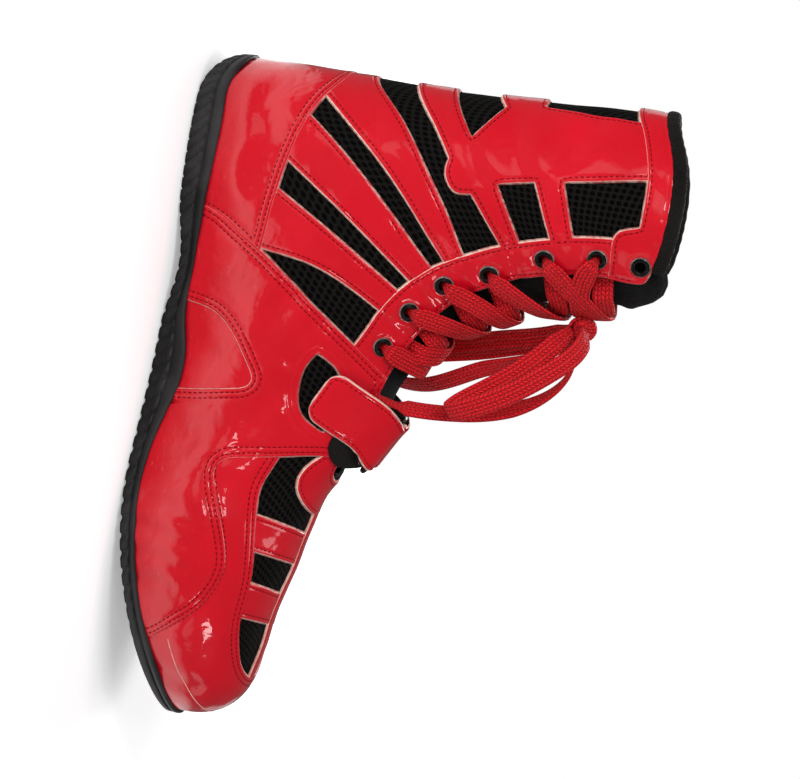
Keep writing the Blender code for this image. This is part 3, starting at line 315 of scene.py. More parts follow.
# Creases and dents: sides, depth (above 0 dents, below 0 bulges), half width, points x and z.
CREASES = (
    ("both", 0.55, 2.6, ((192.0, 12.0), (194.0, 22.0), (199.0, 31.0))),
    ("both", 0.60, 2.4, ((203.0, 11.0), (206.0, 22.0), (208.0, 36.0))),
    ("both", 0.50, 2.2, ((214.0, 12.0), (215.0, 22.0), (219.0, 34.0))),
    ("both", 0.45, 2.2, ((226.0, 14.0), (225.0, 22.0), (227.0, 30.0))),
    ("inner", 0.9, 5.0, ((92.0, 60.0), (104.0, 52.0), (118.0, 50.0))),
    ("inner", 0.7, 4.0, ((104.0, 72.0), (117.0, 62.0), (124.0, 58.0))),
    ("outer", 0.8, 5.0, ((90.0, 56.0), (106.0, 50.0), (120.0, 52.0))),
    ("both", 0.8, 6.0, ((20.0, 30.0), (36.0, 36.0), (52.0, 33.0))),
    ("both", -0.9, 9.0, ((20.0, 22.0), (40.0, 25.0), (58.0, 24.0))),
    ("both", 0.8, 5.0, ((12.0, 134.0), (26.0, 139.0), (40.0, 149.0))),
    ("both", 0.7, 5.0, ((10.0, 168.0), (18.0, 160.0), (28.0, 156.0))),
    ("inner", 0.6, 4.0, ((140.0, 58.0), (152.0, 50.0), (166.0, 46.0))),
    ("outer", 0.6, 4.0, ((138.0, 56.0), (154.0, 52.0), (168.0, 44.0))),
    ("both", 0.5, 3.5, ((262.0, 20.0), (268.0, 30.0), (270.0, 42.0))),
    ("both", 0.6, 5.0, ((30.0, 196.0), (33.0, 201.0), (35.0, 206.0))),
    ("both", 0.38, 2.0, ((101.0, 92.0), (105.3, 99.8), (107.7, 104.2))),
    ("both", 0.42, 1.9, ((84.6, 104.6), (90.1, 110.6), (93.5, 114.3))),
    ("both", 0.38, 2.1, ((72.0, 122.8), (79.3, 126.1), (83.9, 128.1))),
    ("both", 0.42, 2.2, ((63.0, 142.8), (70.3, 146.2), (74.9, 148.3))),
    ("both", 0.36, 2.0, ((56.0, 166.8), (63.4, 168.1), (68.4, 168.9))),
    ("inner", 0.45, 2.4, ((48.0, 60.0), (56.0, 66.0), (63.0, 68.0))),
    ("both", 0.5, 3.0, ((40.0, 168.0), (44.0, 175.0), (45.0, 184.0))),
    ("inner", 0.5, 2.6, ((22.0, 118.0), (30.0, 121.0), (38.0, 127.0))),
)
# Slow unevenness of the skin: height, wave length along x and z, phase.
WAVES = ((0.16, 47.0, 61.0, 0.4), (0.12, -33.0, 38.0, 1.9), (0.08, 21.0, -27.0, 4.0))
# The two sides of the shoe are out of step by this much, over this half width about the middle.
WAVE_SIDE_PHASE = 0.6
WAVE_SIDE_REACH = 12.0
# A crease pushes up a low ridge on both of its sides: height and place, in crease depths and half widths.
CREASE_RIDGE = 0.45
CREASE_RIDGE_PLACE = 1.9


def distance_to_line(x, z, points):
    best = np.full(x.shape, 1e9)
    for (x0, z0), (x1, z1) in zip(points, points[1:]):
        run_x, run_z = x1 - x0, z1 - z0
        share = np.clip(((x - x0) * run_x + (z - z0) * run_z) / (run_x ** 2 + run_z ** 2), 0.0, 1.0)
        best = np.minimum(best, np.hypot(x - x0 - share * run_x, z - z0 - share * run_z))
    return best


def relief(points):
    """Height of the skin over the plain boot at these points."""
    x, y, z = points[..., 0], points[..., 1], points[..., 2]
    height = np.zeros(x.shape)
    for sides, depth, width, line in CREASES:
        distance = distance_to_line(x, z, line) / width
        ridge = CREASE_RIDGE * np.exp(-(distance - CREASE_RIDGE_PLACE) ** 2)
        shape = -np.exp(-distance ** 2) + ridge
        mask = {"both": 1.0, "inner": y < 0, "outer": y > 0}[sides]
        height += depth * shape * mask
    side_phase = WAVE_SIDE_PHASE * np.clip(y / WAVE_SIDE_REACH, -1.0, 1.0)
    for size, wave_x, wave_z, phase in WAVES:
        height += size * np.sin(2 * np.pi * (x / wave_x + z / wave_z) + phase + side_phase)
    return height


HEEL_TUCK = 1.6
HEEL_TUCK_START = 14.0
HEEL_TUCK_FADE = 6.0
RIM_COVER = 0.5
RIM_FADE = 1.5
TOE_TIP = 1e-4


def skin(s, ring, lift):
    """Points at a lift over the boot's uneven skin; below the sole's rim it is tucked in."""
    base = boot(s, ring)
    normal = boot_frame(s, ring)[2]
    x, y, z = np.moveaxis(base, -1, 0)
    rim = sole_bottom(x) + np.where(y < 0, wall_height(-1, x), wall_height(1, x))
    at_back = np.clip((HEEL_TUCK_START - x) / HEEL_TUCK_FADE, 0.0, 1.0)
    tucked = np.clip((rim - RIM_COVER + HEEL_TUCK * at_back - z) / RIM_FADE, 0.0, 1.0)
    height = np.asarray(lift) + relief(base)
    height = np.where(height > 0, height * (1 - tucked), height) - HEEL_TUCK * tucked * at_back
    points = base + normal * height[..., None]
    points[..., 1] = np.where(np.asarray(s) < TOE_TIP, y, points[..., 1])
    return points


# Place of the shoe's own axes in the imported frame.
sole_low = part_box("outsole")[0]
top_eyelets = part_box("eyelet_inner_7")[0].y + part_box("eyelet_outer_7")[1].y
SHIFT = np.array((sole_low.x / MM, top_eyelets / 2 / MM, sole_low.z / MM))


def world(points):
    return (np.asarray(points, float) + SHIFT) * MM


def new_material(name, colour, roughness, **sockets):
    material = bpy.data.materials.new(name)
    material.use_nodes = True
    shader = material.node_tree.nodes["Principled BSDF"]
    shader.inputs["Base Color"].default_value = (*colour, 1.0)
    shader.inputs["Roughness"].default_value = roughness
    for socket, value in sockets.items():
        shader.inputs[socket.replace("_", " ")].default_value = value
    return material, material.node_tree, shader


def add_node(tree, kind, inputs=(), **settings):
    node = tree.nodes.new(kind)
    for key, value in settings.items():
        setattr(node, key, value)
    for key, value in dict(inputs).items():
        if isinstance(value, bpy.types.NodeSocket):
            tree.links.new(value, node.inputs[key])
        else:
            node.inputs[key].default_value = value
    return node


def math_node(tree, operation, *values):
    return add_node(tree, "ShaderNodeMath", dict(enumerate(values)), operation=operation).outputs[0]


def vector_node(tree, operation, *values):
    return add_node(tree, "ShaderNodeVectorMath", dict(enumerate(values)), operation=operation)


def noise(tree, place, scale, detail=3.0, distortion=0.0):
    inputs = {"Vector": place, "Scale": scale, "Detail": detail, "Distortion": distortion}
    return add_node(tree, "ShaderNodeTexNoise", inputs).outputs["Fac"]


def ramp(tree, value, low, high, to_low=0.0, to_high=1.0):
    inputs = {"Value": value, "From Min": low, "From Max": high, "To Min": to_low, "To Max": to_high}
    return add_node(tree, "ShaderNodeMapRange", inputs).outputs["Result"]


def mix_colour(tree, share, first, second):
    node = add_node(tree, "ShaderNodeMix", {"Factor": share}, data_type="RGBA")
    for socket, value in ((node.inputs[6], first), (node.inputs[7], second)):
        if isinstance(value, bpy.types.NodeSocket):
            tree.links.new(value, socket)
        else:
            socket.default_value = (*value, 1.0)
    return node.outputs[2]


def set_bump(tree, shader, height, distance, strength=1.0, after=None):
    inputs = {"Height": height, "Distance": distance, "Strength": strength}
    if after is not None:
        inputs["Normal"] = after
    normal = add_node(tree, "ShaderNodeBump", inputs).outputs["Normal"]
    tree.links.new(normal, shader.inputs["Normal"])
    return normal


def object_place(tree):
    return add_node(tree, "ShaderNodeTexCoord").outputs["Object"]


def uv_place(tree):
    return add_node(tree, "ShaderNodeUVMap", uv_map="fabric").outputs["UV"]


def make_patent():
    material, tree, shader = new_material(
        "patent_red", (0.60, 0.0045, 0.013), 0.32, Coat_Weight=1.0, Coat_Roughness=0.035, Coat_IOR=1.5,
        Specular_IOR_Level=0.08)
    place = object_place(tree)
    cloud = noise(tree, place, 34.0, 4.0)
    grime = noise(tree, place, 140.0, 5.0, 0.6)
    shade = mix_colour(tree, ramp(tree, cloud, 0.3, 0.75), (0.595, 0.0042, 0.0150), (0.505, 0.0034, 0.0115))
    dull = ramp(tree, grime, 0.55, 0.85, 0.0, 0.25)
    shade = mix_colour(tree, dull, shade, (0.43, 0.0036, 0.0095))
    height = add_node(tree, "ShaderNodeSeparateXYZ", {"Vector": place}).outputs["Z"]
    flat_place = add_node(tree, "ShaderNodeMapping", {"Vector": place, "Scale": (1.0, 1.0, 5.0)}).outputs[0]
    rubbed = noise(tree, flat_place, 210.0, 4.0, 1.2)
    near_sole = ramp(tree, height, 0.052, 0.018)
    scuff = math_node(tree, "MULTIPLY", ramp(tree, rubbed, 0.64, 0.72), near_sole)
    shade = mix_colour(tree, math_node(tree, "MULTIPLY", scuff, 0.35), shade, (0.55, 0.12, 0.11))
    tree.links.new(shade, shader.inputs["Base Color"])
    rough = ramp(tree, grime, 0.4, 0.8, 0.3, 0.45)
    tree.links.new(rough, shader.inputs["Roughness"])
    tree.links.new(ramp(tree, scuff, 0.0, 1.0, 0.035, 0.25), shader.inputs["Coat Roughness"])
    slow = noise(tree, place, 75.0, 2.0, 0.5)
    peel = noise(tree, place, 620.0, 2.0)
    normal = set_bump(tree, shader, slow, 0.0011, 0.55)
    normal = set_bump(tree, shader, peel, 0.00006, 0.5, normal)
    tree.links.new(normal, shader.inputs["Coat Normal"])
    return material


def make_raw_edge():
    material, tree, shader = new_material("raw_edge", (0.50, 0.33, 0.29), 0.75)
    pale = add_node(tree, "ShaderNodeAttribute", attribute_name="pale").outputs["Fac"]
    mottle = noise(tree, object_place(tree), 420.0, 3.0)
    share = math_node(tree, "MULTIPLY", pale, ramp(tree, mottle, 0.3, 0.5, 0.55, 1.0))
    colour = mix_colour(tree, share, (0.52, 0.030, 0.045), (0.80, 0.58, 0.48))
    tree.links.new(colour, shader.inputs["Base Color"])
    return material


def make_mesh_fabric():
    """Air mesh: staggered slanted holes between soft ridges; the holes show the black lining behind,
    painted darker still as shade.
    """
    material, tree, shader = new_material("air_mesh", (0.006, 0.006, 0.006), 0.78, Specular_IOR_Level=0.06)
    parts = add_node(tree, "ShaderNodeSeparateXYZ", {"Vector": uv_place(tree)}).outputs
    along = math_node(tree, "DIVIDE", parts["X"], 0.0030)
    across = math_node(tree, "DIVIDE", parts["Y"], 0.0021)
    row = math_node(tree, "FLOOR", across)
    odd = math_node(tree, "MULTIPLY", math_node(tree, "MODULO", row, 2.0), 0.5)
    cell_x = math_node(tree, "FRACT", math_node(tree, "ADD", along, odd))
    cell_x = math_node(tree, "SUBTRACT", cell_x, 0.5)
    cell_y = math_node(tree, "SUBTRACT", math_node(tree, "FRACT", across), 0.5)
    slant = math_node(tree, "ADD", cell_x, math_node(tree, "MULTIPLY", cell_y, 0.35))
    wide = math_node(tree, "POWER", math_node(tree, "MULTIPLY", slant, 1.15), 2.0)
    tall = math_node(tree, "POWER", math_node(tree, "MULTIPLY", cell_y, 1.05), 2.0)
    radius = math_node(tree, "SQRT", math_node(tree, "ADD", wide, tall))
    rim = ramp(tree, radius, 0.24, 0.46)
    fuzz = noise(tree, uv_place(tree), 2600.0, 3.0)
    # Painted shade: the holes are near black, darker than the lining behind them; the ridges keep the
    # mesh's own dark grey.
    colour = mix_colour(tree, rim, (0.0002, 0.0002, 0.0002), (0.0085, 0.0074, 0.0068))
    colour = mix_colour(tree, ramp(tree, fuzz, 0.35, 0.75, 0.0, 0.6), colour, (0.0026, 0.0024, 0.0023))
    tree.links.new(colour, shader.inputs["Base Color"])
    height = math_node(tree, "ADD", rim, math_node(tree, "MULTIPLY", fuzz, 0.18))
    set_bump(tree, shader, height, 0.0009, 1.0)
    return material


def make_cloth(name, colour, pitch, roughness):
    """Plain knitted cloth with fine ribs both ways."""
    material, tree, shader = new_material(name, colour, roughness, Sheen_Weight=0.02, Sheen_Roughness=0.45,
                                          Specular_IOR_Level=0.2)
    place = object_place(tree)
    parts = add_node(tree, "ShaderNodeSeparateXYZ", {"Vector": place}).outputs
    turn = 2 * math.pi / pitch
    wave_a = math_node(tree, "SINE", math_node(tree, "MULTIPLY", parts["X"], turn))
    wave_b = math_node(tree, "SINE", math_node(tree, "MULTIPLY", parts["Z"], turn))
    wave_c = math_node(tree, "SINE", math_node(tree, "MULTIPLY", parts["Y"], turn))
    knit = math_node(tree, "ADD", math_node(tree, "ADD", wave_a, wave_b), wave_c)
    fuzz = noise(tree, place, 1500.0, 4.0)
    dark = tuple(value * 0.55 for value in colour)
    shade = mix_colour(tree, ramp(tree, noise(tree, place, 60.0), 0.3, 0.7), dark, colour)
    tree.links.new(shade, shader.inputs["Base Color"])
    height = math_node(tree, "ADD", math_node(tree, "MULTIPLY", knit, 0.25), fuzz)
    set_bump(tree, shader, height, 0.00035, 0.8)
    return material


def make_braid():
    """Flat braid: chevrons of yarn along the lace, darker in the valleys between the yarns as painted
    shade.
    """
    material, tree, shader = new_material("lace_braid", (0.42, 0.006, 0.010), 0.6, Sheen_Weight=0.25,
                                          Sheen_Roughness=0.4, Specular_IOR_Level=0.2,
                                          Sheen_Tint=(1.0, 0.12, 0.12, 1.0))
    parts = add_node(tree, "ShaderNodeSeparateXYZ", {"Vector": uv_place(tree)}).outputs
    strand = math_node(tree, "DIVIDE", parts["Y"], 0.0016)
    column = math_node(tree, "FLOOR", strand)
    inside = math_node(tree, "SUBTRACT", math_node(tree, "FRACT", strand), 0.5)
    odd = math_node(tree, "MODULO", column, 2.0)
    flip = math_node(tree, "SUBTRACT", math_node(tree, "MULTIPLY", odd, 2.0), 1.0)
    lean = math_node(tree, "MULTIPLY", math_node(tree, "MULTIPLY", inside, flip), 0.9)
    along = math_node(tree, "ADD", math_node(tree, "DIVIDE", parts["X"], 0.0019), lean)
    yarn = math_node(tree, "ABSOLUTE", math_node(tree, "SINE", math_node(tree, "MULTIPLY", along, math.pi)))
    valley = ramp(tree, math_node(tree, "ABSOLUTE", inside), 0.25, 0.5, 1.0, 0.1)
    height = math_node(tree, "MULTIPLY", math_node(tree, "POWER", yarn, 0.6), valley)
    fuzz = noise(tree, object_place(tree), 2400.0, 3.0)
    # Painted shade: the yarns are dark in their valleys and bright on their crowns.
    shade = mix_colour(tree, height, (0.32, 0.0028, 0.0055), (0.80, 0.010, 0.019))
    shade = mix_colour(tree, ramp(tree, fuzz, 0.5, 0.8, 0.0, 0.4), shade, (0.72, 0.016, 0.020))
    tree.links.new(shade, shader.inputs["Base Color"])
    height = math_node(tree, "ADD", height, math_node(tree, "MULTIPLY", fuzz, 0.2))
    set_bump(tree, shader, height, 0.0008, 1.0)
    return material


def make_rubber():
    material, tree, shader = new_material("sole_rubber", (0.020, 0.019, 0.020), 0.5,
                                            Specular_IOR_Level=0.45)
    place = object_place(tree)
    dust = noise(tree, place, 46.0, 6.0, 0.4)
    grain = noise(tree, place, 900.0, 3.0)
    dusty = ramp(tree, dust, 0.45, 0.75, 0.0, 0.7)
    shade = mix_colour(tree, dusty, (0.015, 0.014, 0.0145), (0.042, 0.039, 0.040))
    tree.links.new(shade, shader.inputs["Base Color"])
    tree.links.new(ramp(tree, dust, 0.35, 0.7, 0.40, 0.66), shader.inputs["Roughness"])
    set_bump(tree, shader, grain, 0.00012, 0.7)
    return material


def make_metal(name, colour, roughness):
    material, tree, shader = new_material(name, colour, roughness, Metallic=0.6)
    wear = noise(tree, object_place(tree), 500.0, 4.0)
    light = tuple(min(value * 3.0 + 0.02, 1.0) for value in colour)
    shade = mix_colour(tree, ramp(tree, wear, 0.55, 0.8), colour, light)
    tree.links.new(shade, shader.inputs["Base Color"])
    tree.links.new(ramp(tree, wear, 0.3, 0.7, roughness, roughness + 0.2), shader.inputs["Roughness"])
    return material


def make_thread():
    material, tree, shader = new_material("stitch_thread", (0.14, 0.002, 0.005), 0.8,
                                            Specular_IOR_Level=0.1)
    place = object_place(tree)
    shade = mix_colour(tree, noise(tree, place, 300.0), (0.15, 0.0015, 0.004), (0.30, 0.0035, 0.008))
    tree.links.new(shade, shader.inputs["Base Color"])
    set_bump(tree, shader, noise(tree, place, 3500.0), 0.0001, 0.8)
    return material


patent = make_patent()
raw_edge = make_raw_edge()
air_mesh = make_mesh_fabric()
binding_cloth = make_cloth("binding_cloth", (0.0085, 0.0070, 0.0064), 0.0011, 0.82)
lining_cloth = make_cloth("lining_cloth", (0.010, 0.010, 0.010), 0.0008, 0.88)
braid = make_braid()
rubber = make_rubber()
enamel = make_metal("eyelet_enamel", (0.008, 0.007, 0.007), 0.18)
# Bare metal rim of the eyelets, coloured lighter than the bare metal as a painted glint.
rim_metal_and_glint = make_metal("eyelet_rim", (0.24, 0.21, 0.19), 0.18)
thread = make_thread()


def place_piece(name, data, nodes):
    """Smooth piece from mesh data that rides on the shoe and stands for CAD nodes."""
    data.shade_smooth()
    piece = bpy.data.objects.new(name, data)
    bpy.context.scene.collection.objects.link(piece)
    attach(piece, "root")
    if nodes:
        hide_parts(*nodes)
    return piece


def add_piece(name, points, faces, materials, nodes=(), face_material=None, uv=None):
    """Piece from points in the shoe's millimetres and faces."""
    data = bpy.data.meshes.new(name)
    data.from_pydata(world(points).tolist(), [], [tuple(int(i) for i in face) for face in faces])
    for material in materials:
        data.materials.append(material)
    if face_material is not None:
        data.polygons.foreach_set("material_index", np.asarray(face_material, np.int32))
    if uv is not None:
        layer = data.uv_layers.new(name="fabric")
        corners = np.zeros(len(data.loops), np.int32)
        data.loops.foreach_get("vertex_index", corners)
        layer.data.foreach_set("uv", (np.asarray(uv, float)[corners] * MM).ravel())
    data.validate()
    return place_piece(name, data, nodes)


def set_pale(piece, value):
    """The same paleness of the raw edge all over a piece."""
    pale = piece.data.attributes.new("pale", "FLOAT", "POINT")
    pale.data.foreach_set("value", np.full(len(piece.data.vertices), value))


def merge_seams(mesh):
    """Join the points that halves of a piece share, and turn all faces outwards."""
    bmesh.ops.remove_doubles(mesh, verts=mesh.verts, dist=SEAM_REACH)
    bmesh.ops.recalc_face_normals(mesh, faces=mesh.faces)


FINE_SHARE = 40


def resample(points, pitch):
    """Points spread evenly along a line of points."""
    points = np.asarray(points, float)
    lengths = run_lengths(points)
    count = max(int(round(lengths[-1] / pitch)), 1)
    places = np.linspace(0.0, lengths[-1], count + 1)
    return np.stack([np.interp(places, lengths, axis) for axis in points.T], axis=-1)


def smooth_line(points, pitch):
    """Smooth curve through points, spread evenly."""
    points = np.asarray(points, float)
    if len(points) < 3:
        return resample(points, pitch)
    chords = np.sqrt(np.linalg.norm(np.diff(points, axis=0), axis=1))
    knots = np.concatenate(([0.0], np.cumsum(chords)))
    fine = np.linspace(0.0, knots[-1], FINE_SHARE * len(points))
    return resample(Spline(knots, points)(fine), pitch)


OUTLINE_PITCH = 1.3
FINE_PITCH = 0.25
JOINT_PITCH = 0.6
JOINT_RING = 0.9999
HIDDEN_SECTION = 0.05
SMALLEST_GAP = 0.05


def on_chart(line, find=locate):
    """Section and ring places of a line that is drawn from the side or from above."""
    return np.stack(find(line[:, 0], line[:, 1]), axis=-1)


def side_run(run):
    """Places of one run seen from the side, evenly spaced, up to the back or the bottom line."""
    line = smooth_line(run, FINE_PITCH)
    s, ring = locate(line[:, 0], line[:, 1])
    shown = np.flatnonzero(ring < JOINT_RING)
    if len(shown):
        part = slice(max(shown[0] - 1, 0), shown[-1] + 2)
        s, ring = s[part], ring[part]
    else:
        s, ring = s[[0, -1]], ring[[0, -1]]
    lengths = run_lengths(boot(s, ring))
    places = np.linspace(0.0, lengths[-1], max(int(lengths[-1] / OUTLINE_PITCH), 1) + 1)
    return np.stack((np.interp(places, lengths, s), np.interp(places, lengths, ring)), axis=-1)


def along_joint(loop):
    """Loop that runs straight along the back or bottom line between the places where it meets that line."""
    hidden = loop[:, 1] > JOINT_RING
    if not hidden.any():
        return loop
    start = next(i for i in range(len(loop)) if hidden[i] and not hidden[i - 1])
    loop, hidden = np.roll(loop, -start, axis=0), np.roll(hidden, -start)
    result = []
    for is_hidden, group in itertools.groupby(range(len(loop)), key=lambda i: hidden[i]):
        group = list(group)
        if is_hidden:
            first, last = loop[group[0], 0], loop[group[-1], 0]
            length = abs(np.diff(np.interp((first, last), chart_s, chart_u))[0])
            result += [(s, 1.0) for s in np.linspace(first, last, int(length / JOINT_PITCH) + 2)]
        else:
            result += [tuple(loop[i]) for i in group]
    return np.array(result)


def outline_loop(runs, view="side"):
    """Closed line on the boot's chart through runs of points; runs meet at corners."""
    if view == "side":
        places = [side_run(run) for run in runs]
        return along_joint(np.concatenate([run if run[-1, 1] > JOINT_RING else run[:-1] for run in places]))
    return np.concatenate([on_chart(smooth_line(run, OUTLINE_PITCH), locate_above)[:-1] for run in runs])


def inside_loop(points, loop):
    """True where chart points lie inside a closed chart line."""
    result = np.zeros(len(points), bool)
    x, y = points[:, 0], points[:, 1]
    for (x0, y0), (x1, y1) in zip(loop, np.roll(loop, -1, axis=0)):
        if y0 == y1:
            continue
        crosses = (y0 > y) != (y1 > y)
        result ^= crosses & (x < (x1 - x0) * (y - y0) / (y1 - y0) + x0)
    return result


def clean_loop(loop):
    """Loop without repeated places."""
    chart = to_chart(loop[:, 0], loop[:, 1])
    gap = np.linalg.norm(chart - np.roll(chart, 1, axis=0), axis=1)
    return loop[gap > SMALLEST_GAP]


def loop_inset(loop, amount):
    """Places moved inwards from a loop by a length in millimetres, or outwards where it is negative."""
    s, ring = loop[:, 0], loop[:, 1]
    points = boot(s, ring)
    tangent = unit(np.roll(points, -1, axis=0) - np.roll(points, 1, axis=0))
    along, around, normal = boot_frame(s, ring)
    inward = np.cross(normal, tangent)
    aa = (along * along).sum(-1)
    bb = (around * around).sum(-1)
    ab = (along * around).sum(-1)
    ia = (inward * along).sum(-1)
    ib = (inward * around).sum(-1)
    area = np.maximum(aa * bb - ab * ab, 1e-6)
    step = np.stack(((ia * bb - ib * ab) / area, (ib * aa - ia * ab) / area), axis=-1)
    chart = to_chart(s, ring)
    turning = np.cross(chart, np.roll(chart, -1, axis=0)).sum()
    # The chart's along and around axes are the mirror of the boot's own, seen from outside.
    direction = -1.0 if turning > 0 else 1.0
    return loop + step * direction * amount


# A row of points along a cut edge keeps those between these shares of its distance from the edge.
ROW_NEAREST = 0.86
ROW_FARTHEST = 1.4
GRID_CLEAR = 0.4
CDT_NEARNESS = 1e-4


class Panel:
    """Sheet on the boot inside one outer loop and outside the hole loops."""

    def __init__(self, loop, holes=(), rows=(), pitch=2.4):
        self.loops = [clean_loop(loop)] + [clean_loop(hole) for hole in holes]
        charts = [to_chart(line[:, 0], line[:, 1]) for line in self.loops]
        border = np.concatenate(self.loops)
        self.is_cut = []
        for line in self.loops:
            shown = (np.abs(line[:, 1]) < JOINT_RING) & (line[:, 0] > HIDDEN_SECTION)
            self.is_cut.append(shown | np.roll(shown, 1) | np.roll(shown, -1))
        edge_points = []
        for line, flags in zip(self.loops, self.is_cut):
            points = boot(line[:, 0], line[:, 1])
            after = np.roll(points, -1, axis=0)
            both = flags & np.roll(flags, -1)
            for share, mask in ((0.0, flags), (1 / 3, both), (2 / 3, both)):
                edge_points += list((points + (after - points) * share)[mask])
        self.tree = kdtree.KDTree(len(edge_points))
        for number, point in enumerate(edge_points):
            self.tree.insert(point, number)
        self.tree.balance()
        places = [border]
        edges = []
        count = len(border)
        for amount in rows:
            for line, flags in zip(self.loops, self.is_cut):
                moved = loop_inset(line, amount if line is self.loops[0] else -amount)
                kept = flags & self.is_clear(moved, charts, ROW_NEAREST * amount, ROW_FARTHEST * amount)
                numbers = count + np.cumsum(kept) - 1
                edges += [(numbers[i - 1], numbers[i]) for i in np.flatnonzero(kept & np.roll(kept, 1))]
                places.append(moved[kept])
                count += kept.sum()
        low = np.min(np.concatenate(charts), axis=0)
        high = np.max(np.concatenate(charts), axis=0)
        grid_u = np.arange(low[0], high[0], pitch)
        grid_v = np.arange(low[1], high[1], pitch)
        grid = np.stack(np.meshgrid(grid_u, grid_v, indexing="ij"), axis=-1)
        grid[::2, :, 1] += pitch / 2
        inner = np.stack(from_chart(grid.reshape(-1, 2)), axis=-1)
        inner = inner[np.abs(inner[:, 1]) < 1.0]
        last_row = max(rows, default=0.0)
        places.append(inner[self.is_clear(inner, charts, last_row + GRID_CLEAR * pitch)])
        places = np.concatenate(places)
        start = 0
        for line in self.loops:
            size = len(line)
            edges += [(start + i, start + (i + 1) % size) for i in range(size)]
            start += size
        chart_places = to_chart(places[:, 0], places[:, 1])
        vectors = [Vector(place) for place in chart_places]
        edges = [(int(a), int(b)) for a, b in edges]
        found = geometry.delaunay_2d_cdt(vectors, edges, [], 0, CDT_NEARNESS)
        spots = np.array([tuple(spot) for spot in found[0]])
        faces = np.array([tuple(face) for face in found[2]], int)
        middles = spots[faces].mean(axis=1)
        keep = inside_loop(middles, charts[0])
        for chart in charts[1:]:
            keep &= ~inside_loop(middles, chart)
        self.faces = faces[keep]
        used = np.unique(self.faces)
        renumber = np.full(len(spots), -1)
        renumber[used] = np.arange(len(used))
        self.faces = renumber[self.faces]
        self.s, self.ring = from_chart(spots[used])
        self.chart = spots[used]
        self.edge = self.distance(boot(self.s, self.ring))

    def distance(self, points):
        """Distance of points from the nearest cut edge."""
        return np.array([self.tree.find(point)[2] for point in points])

    def is_clear(self, places, charts, clear, reach=math.inf):
        """True for places inside the panel and between two distances from its cut edges."""
        chart = to_chart(places[:, 0], places[:, 1])
        inside = inside_loop(chart, charts[0])
        for hole in charts[1:]:
            inside &= ~inside_loop(chart, hole)
        away = self.distance(boot(places[:, 0], places[:, 1]))
        return inside & (away >= clear) & (away <= reach)


# Height of a panel over the skin by distance from its cut edge: distance, share of the height, extra.
EDGE = ((0.0, 0.06, 0.0), (0.85, 0.84, 0.0), (1.2, 1.0, 0.0), (1.7, 1.0, 0.06), (2.4, 1.0, -0.3),
        (3.1, 1.0, 0.04))
EDGE_DOUBLE = EDGE + ((3.9, 1.0, 0.05), (4.7, 1.0, -0.3), (5.5, 1.0, 0.0))
ROWS_SINGLE = (0.85, 1.2, 1.7, 2.4, 3.1, 3.9)
ROWS_DOUBLE = (0.85, 1.2, 1.7, 2.4, 3.1, 3.9, 4.7, 5.5)
STITCH_ROWS = (2.4, 4.7)
UNDERSIDE = 0.03
# The raw edge is the slope up to about 1 mm from the cut; where it faces down it is paler.
CUT = 0.02
RAW_MIDDLE = 0.7
RAW_LIMIT = 1.05
PALE_LEVEL = 0.62
PALE_TURN = 0.75
PALE_LEAST = 0.12


def panel_lift(panel, top, double):
    distance, share, extra = columns(EDGE_DOUBLE if double else EDGE)
    return np.interp(panel.edge, distance, share * top + extra)


def outward_z(panel):
    """How far the nearest cut edge of every point faces up, from -1 to 1."""
    points = boot(panel.s, panel.ring)
    near = np.array([panel.tree.find(point)[0] for point in points])
    return unit(near - points)[:, 2]


def build_panel(name, panels, top, nodes, double=False):
    """Closed piece from one panel or from several that meet at the back or the ridge."""
    mesh = bmesh.new()
    layer = mesh.verts.layers.float.new("pale")
    for panel, turn in panels:
        lift = panel_lift(panel, top, double)
        ring = panel.ring * turn
        upper = [mesh.verts.new(point) for point in world(skin(panel.s, ring, lift))]
        lower_points = world(skin(panel.s, ring, np.full(lift.shape, UNDERSIDE)))
        rim = panel.edge < CUT
        lower = [upper[i] if rim[i] else mesh.verts.new(point) for i, point in enumerate(lower_points)]
        facing = outward_z(panel)
        for i, vertex in enumerate(upper):
            vertex[layer] = float(np.clip(PALE_LEVEL - PALE_TURN * facing[i], PALE_LEAST, 1.0))
        for face in panel.faces:
            order = face if turn > 0 else face[::-1]
            depths = panel.edge[face]
            made = mesh.faces.new([upper[i] for i in order])
            made.material_index = 1 if depths.mean() < RAW_MIDDLE and depths.max() < RAW_LIMIT else 0
            if not rim[face].all():
                mesh.faces.new([lower[i] for i in order[::-1]])
    merge_seams(mesh)
    data = bpy.data.meshes.new(name)
    mesh.to_mesh(data)
    mesh.free()
    data.materials.append(patent)
    data.materials.append(raw_edge)
    place_piece(name, data, nodes)


STITCH_PITCH = 2.3
STITCH_LENGTH = 1.75
STITCH_HALF_WIDTH = 0.33
STITCH_SINK = 0.16
STITCH_DIP = 0.22
STITCH_FLATNESS = 0.8
STITCH_SIDES = 6
# Rounded bar of one stitch: place along it, size.
STITCH_RINGS = ((-0.5, 0.35), (-0.36, 0.85), (0.0, 1.0), (0.36, 0.85), (0.5, 0.35))
STITCH_CLEAR = 0.9
SHORTEST_ROW = 3
stitch_places = []


def add_stitches(points, normals, lift):
    """Remember a row of stitches along points."""
    points = np.asarray(points)
    lengths = run_lengths(points)
    count = int(lengths[-1] / STITCH_PITCH)
    if count < 1:
        return
    middles = (np.arange(count) + 0.5) * lengths[-1] / count
    spots = [np.stack([np.interp(middles + move, lengths, axis) for axis in points.T], axis=-1)
             for move in (-0.3, 0.0, 0.3)]
    ups = unit(np.stack([np.interp(middles, lengths, axis) for axis in np.asarray(normals).T], axis=-1))
    for spot, along, up in zip(spots[1], unit(spots[2] - spots[0]), ups):
        stitch_places.append((spot + up * lift, along, up))


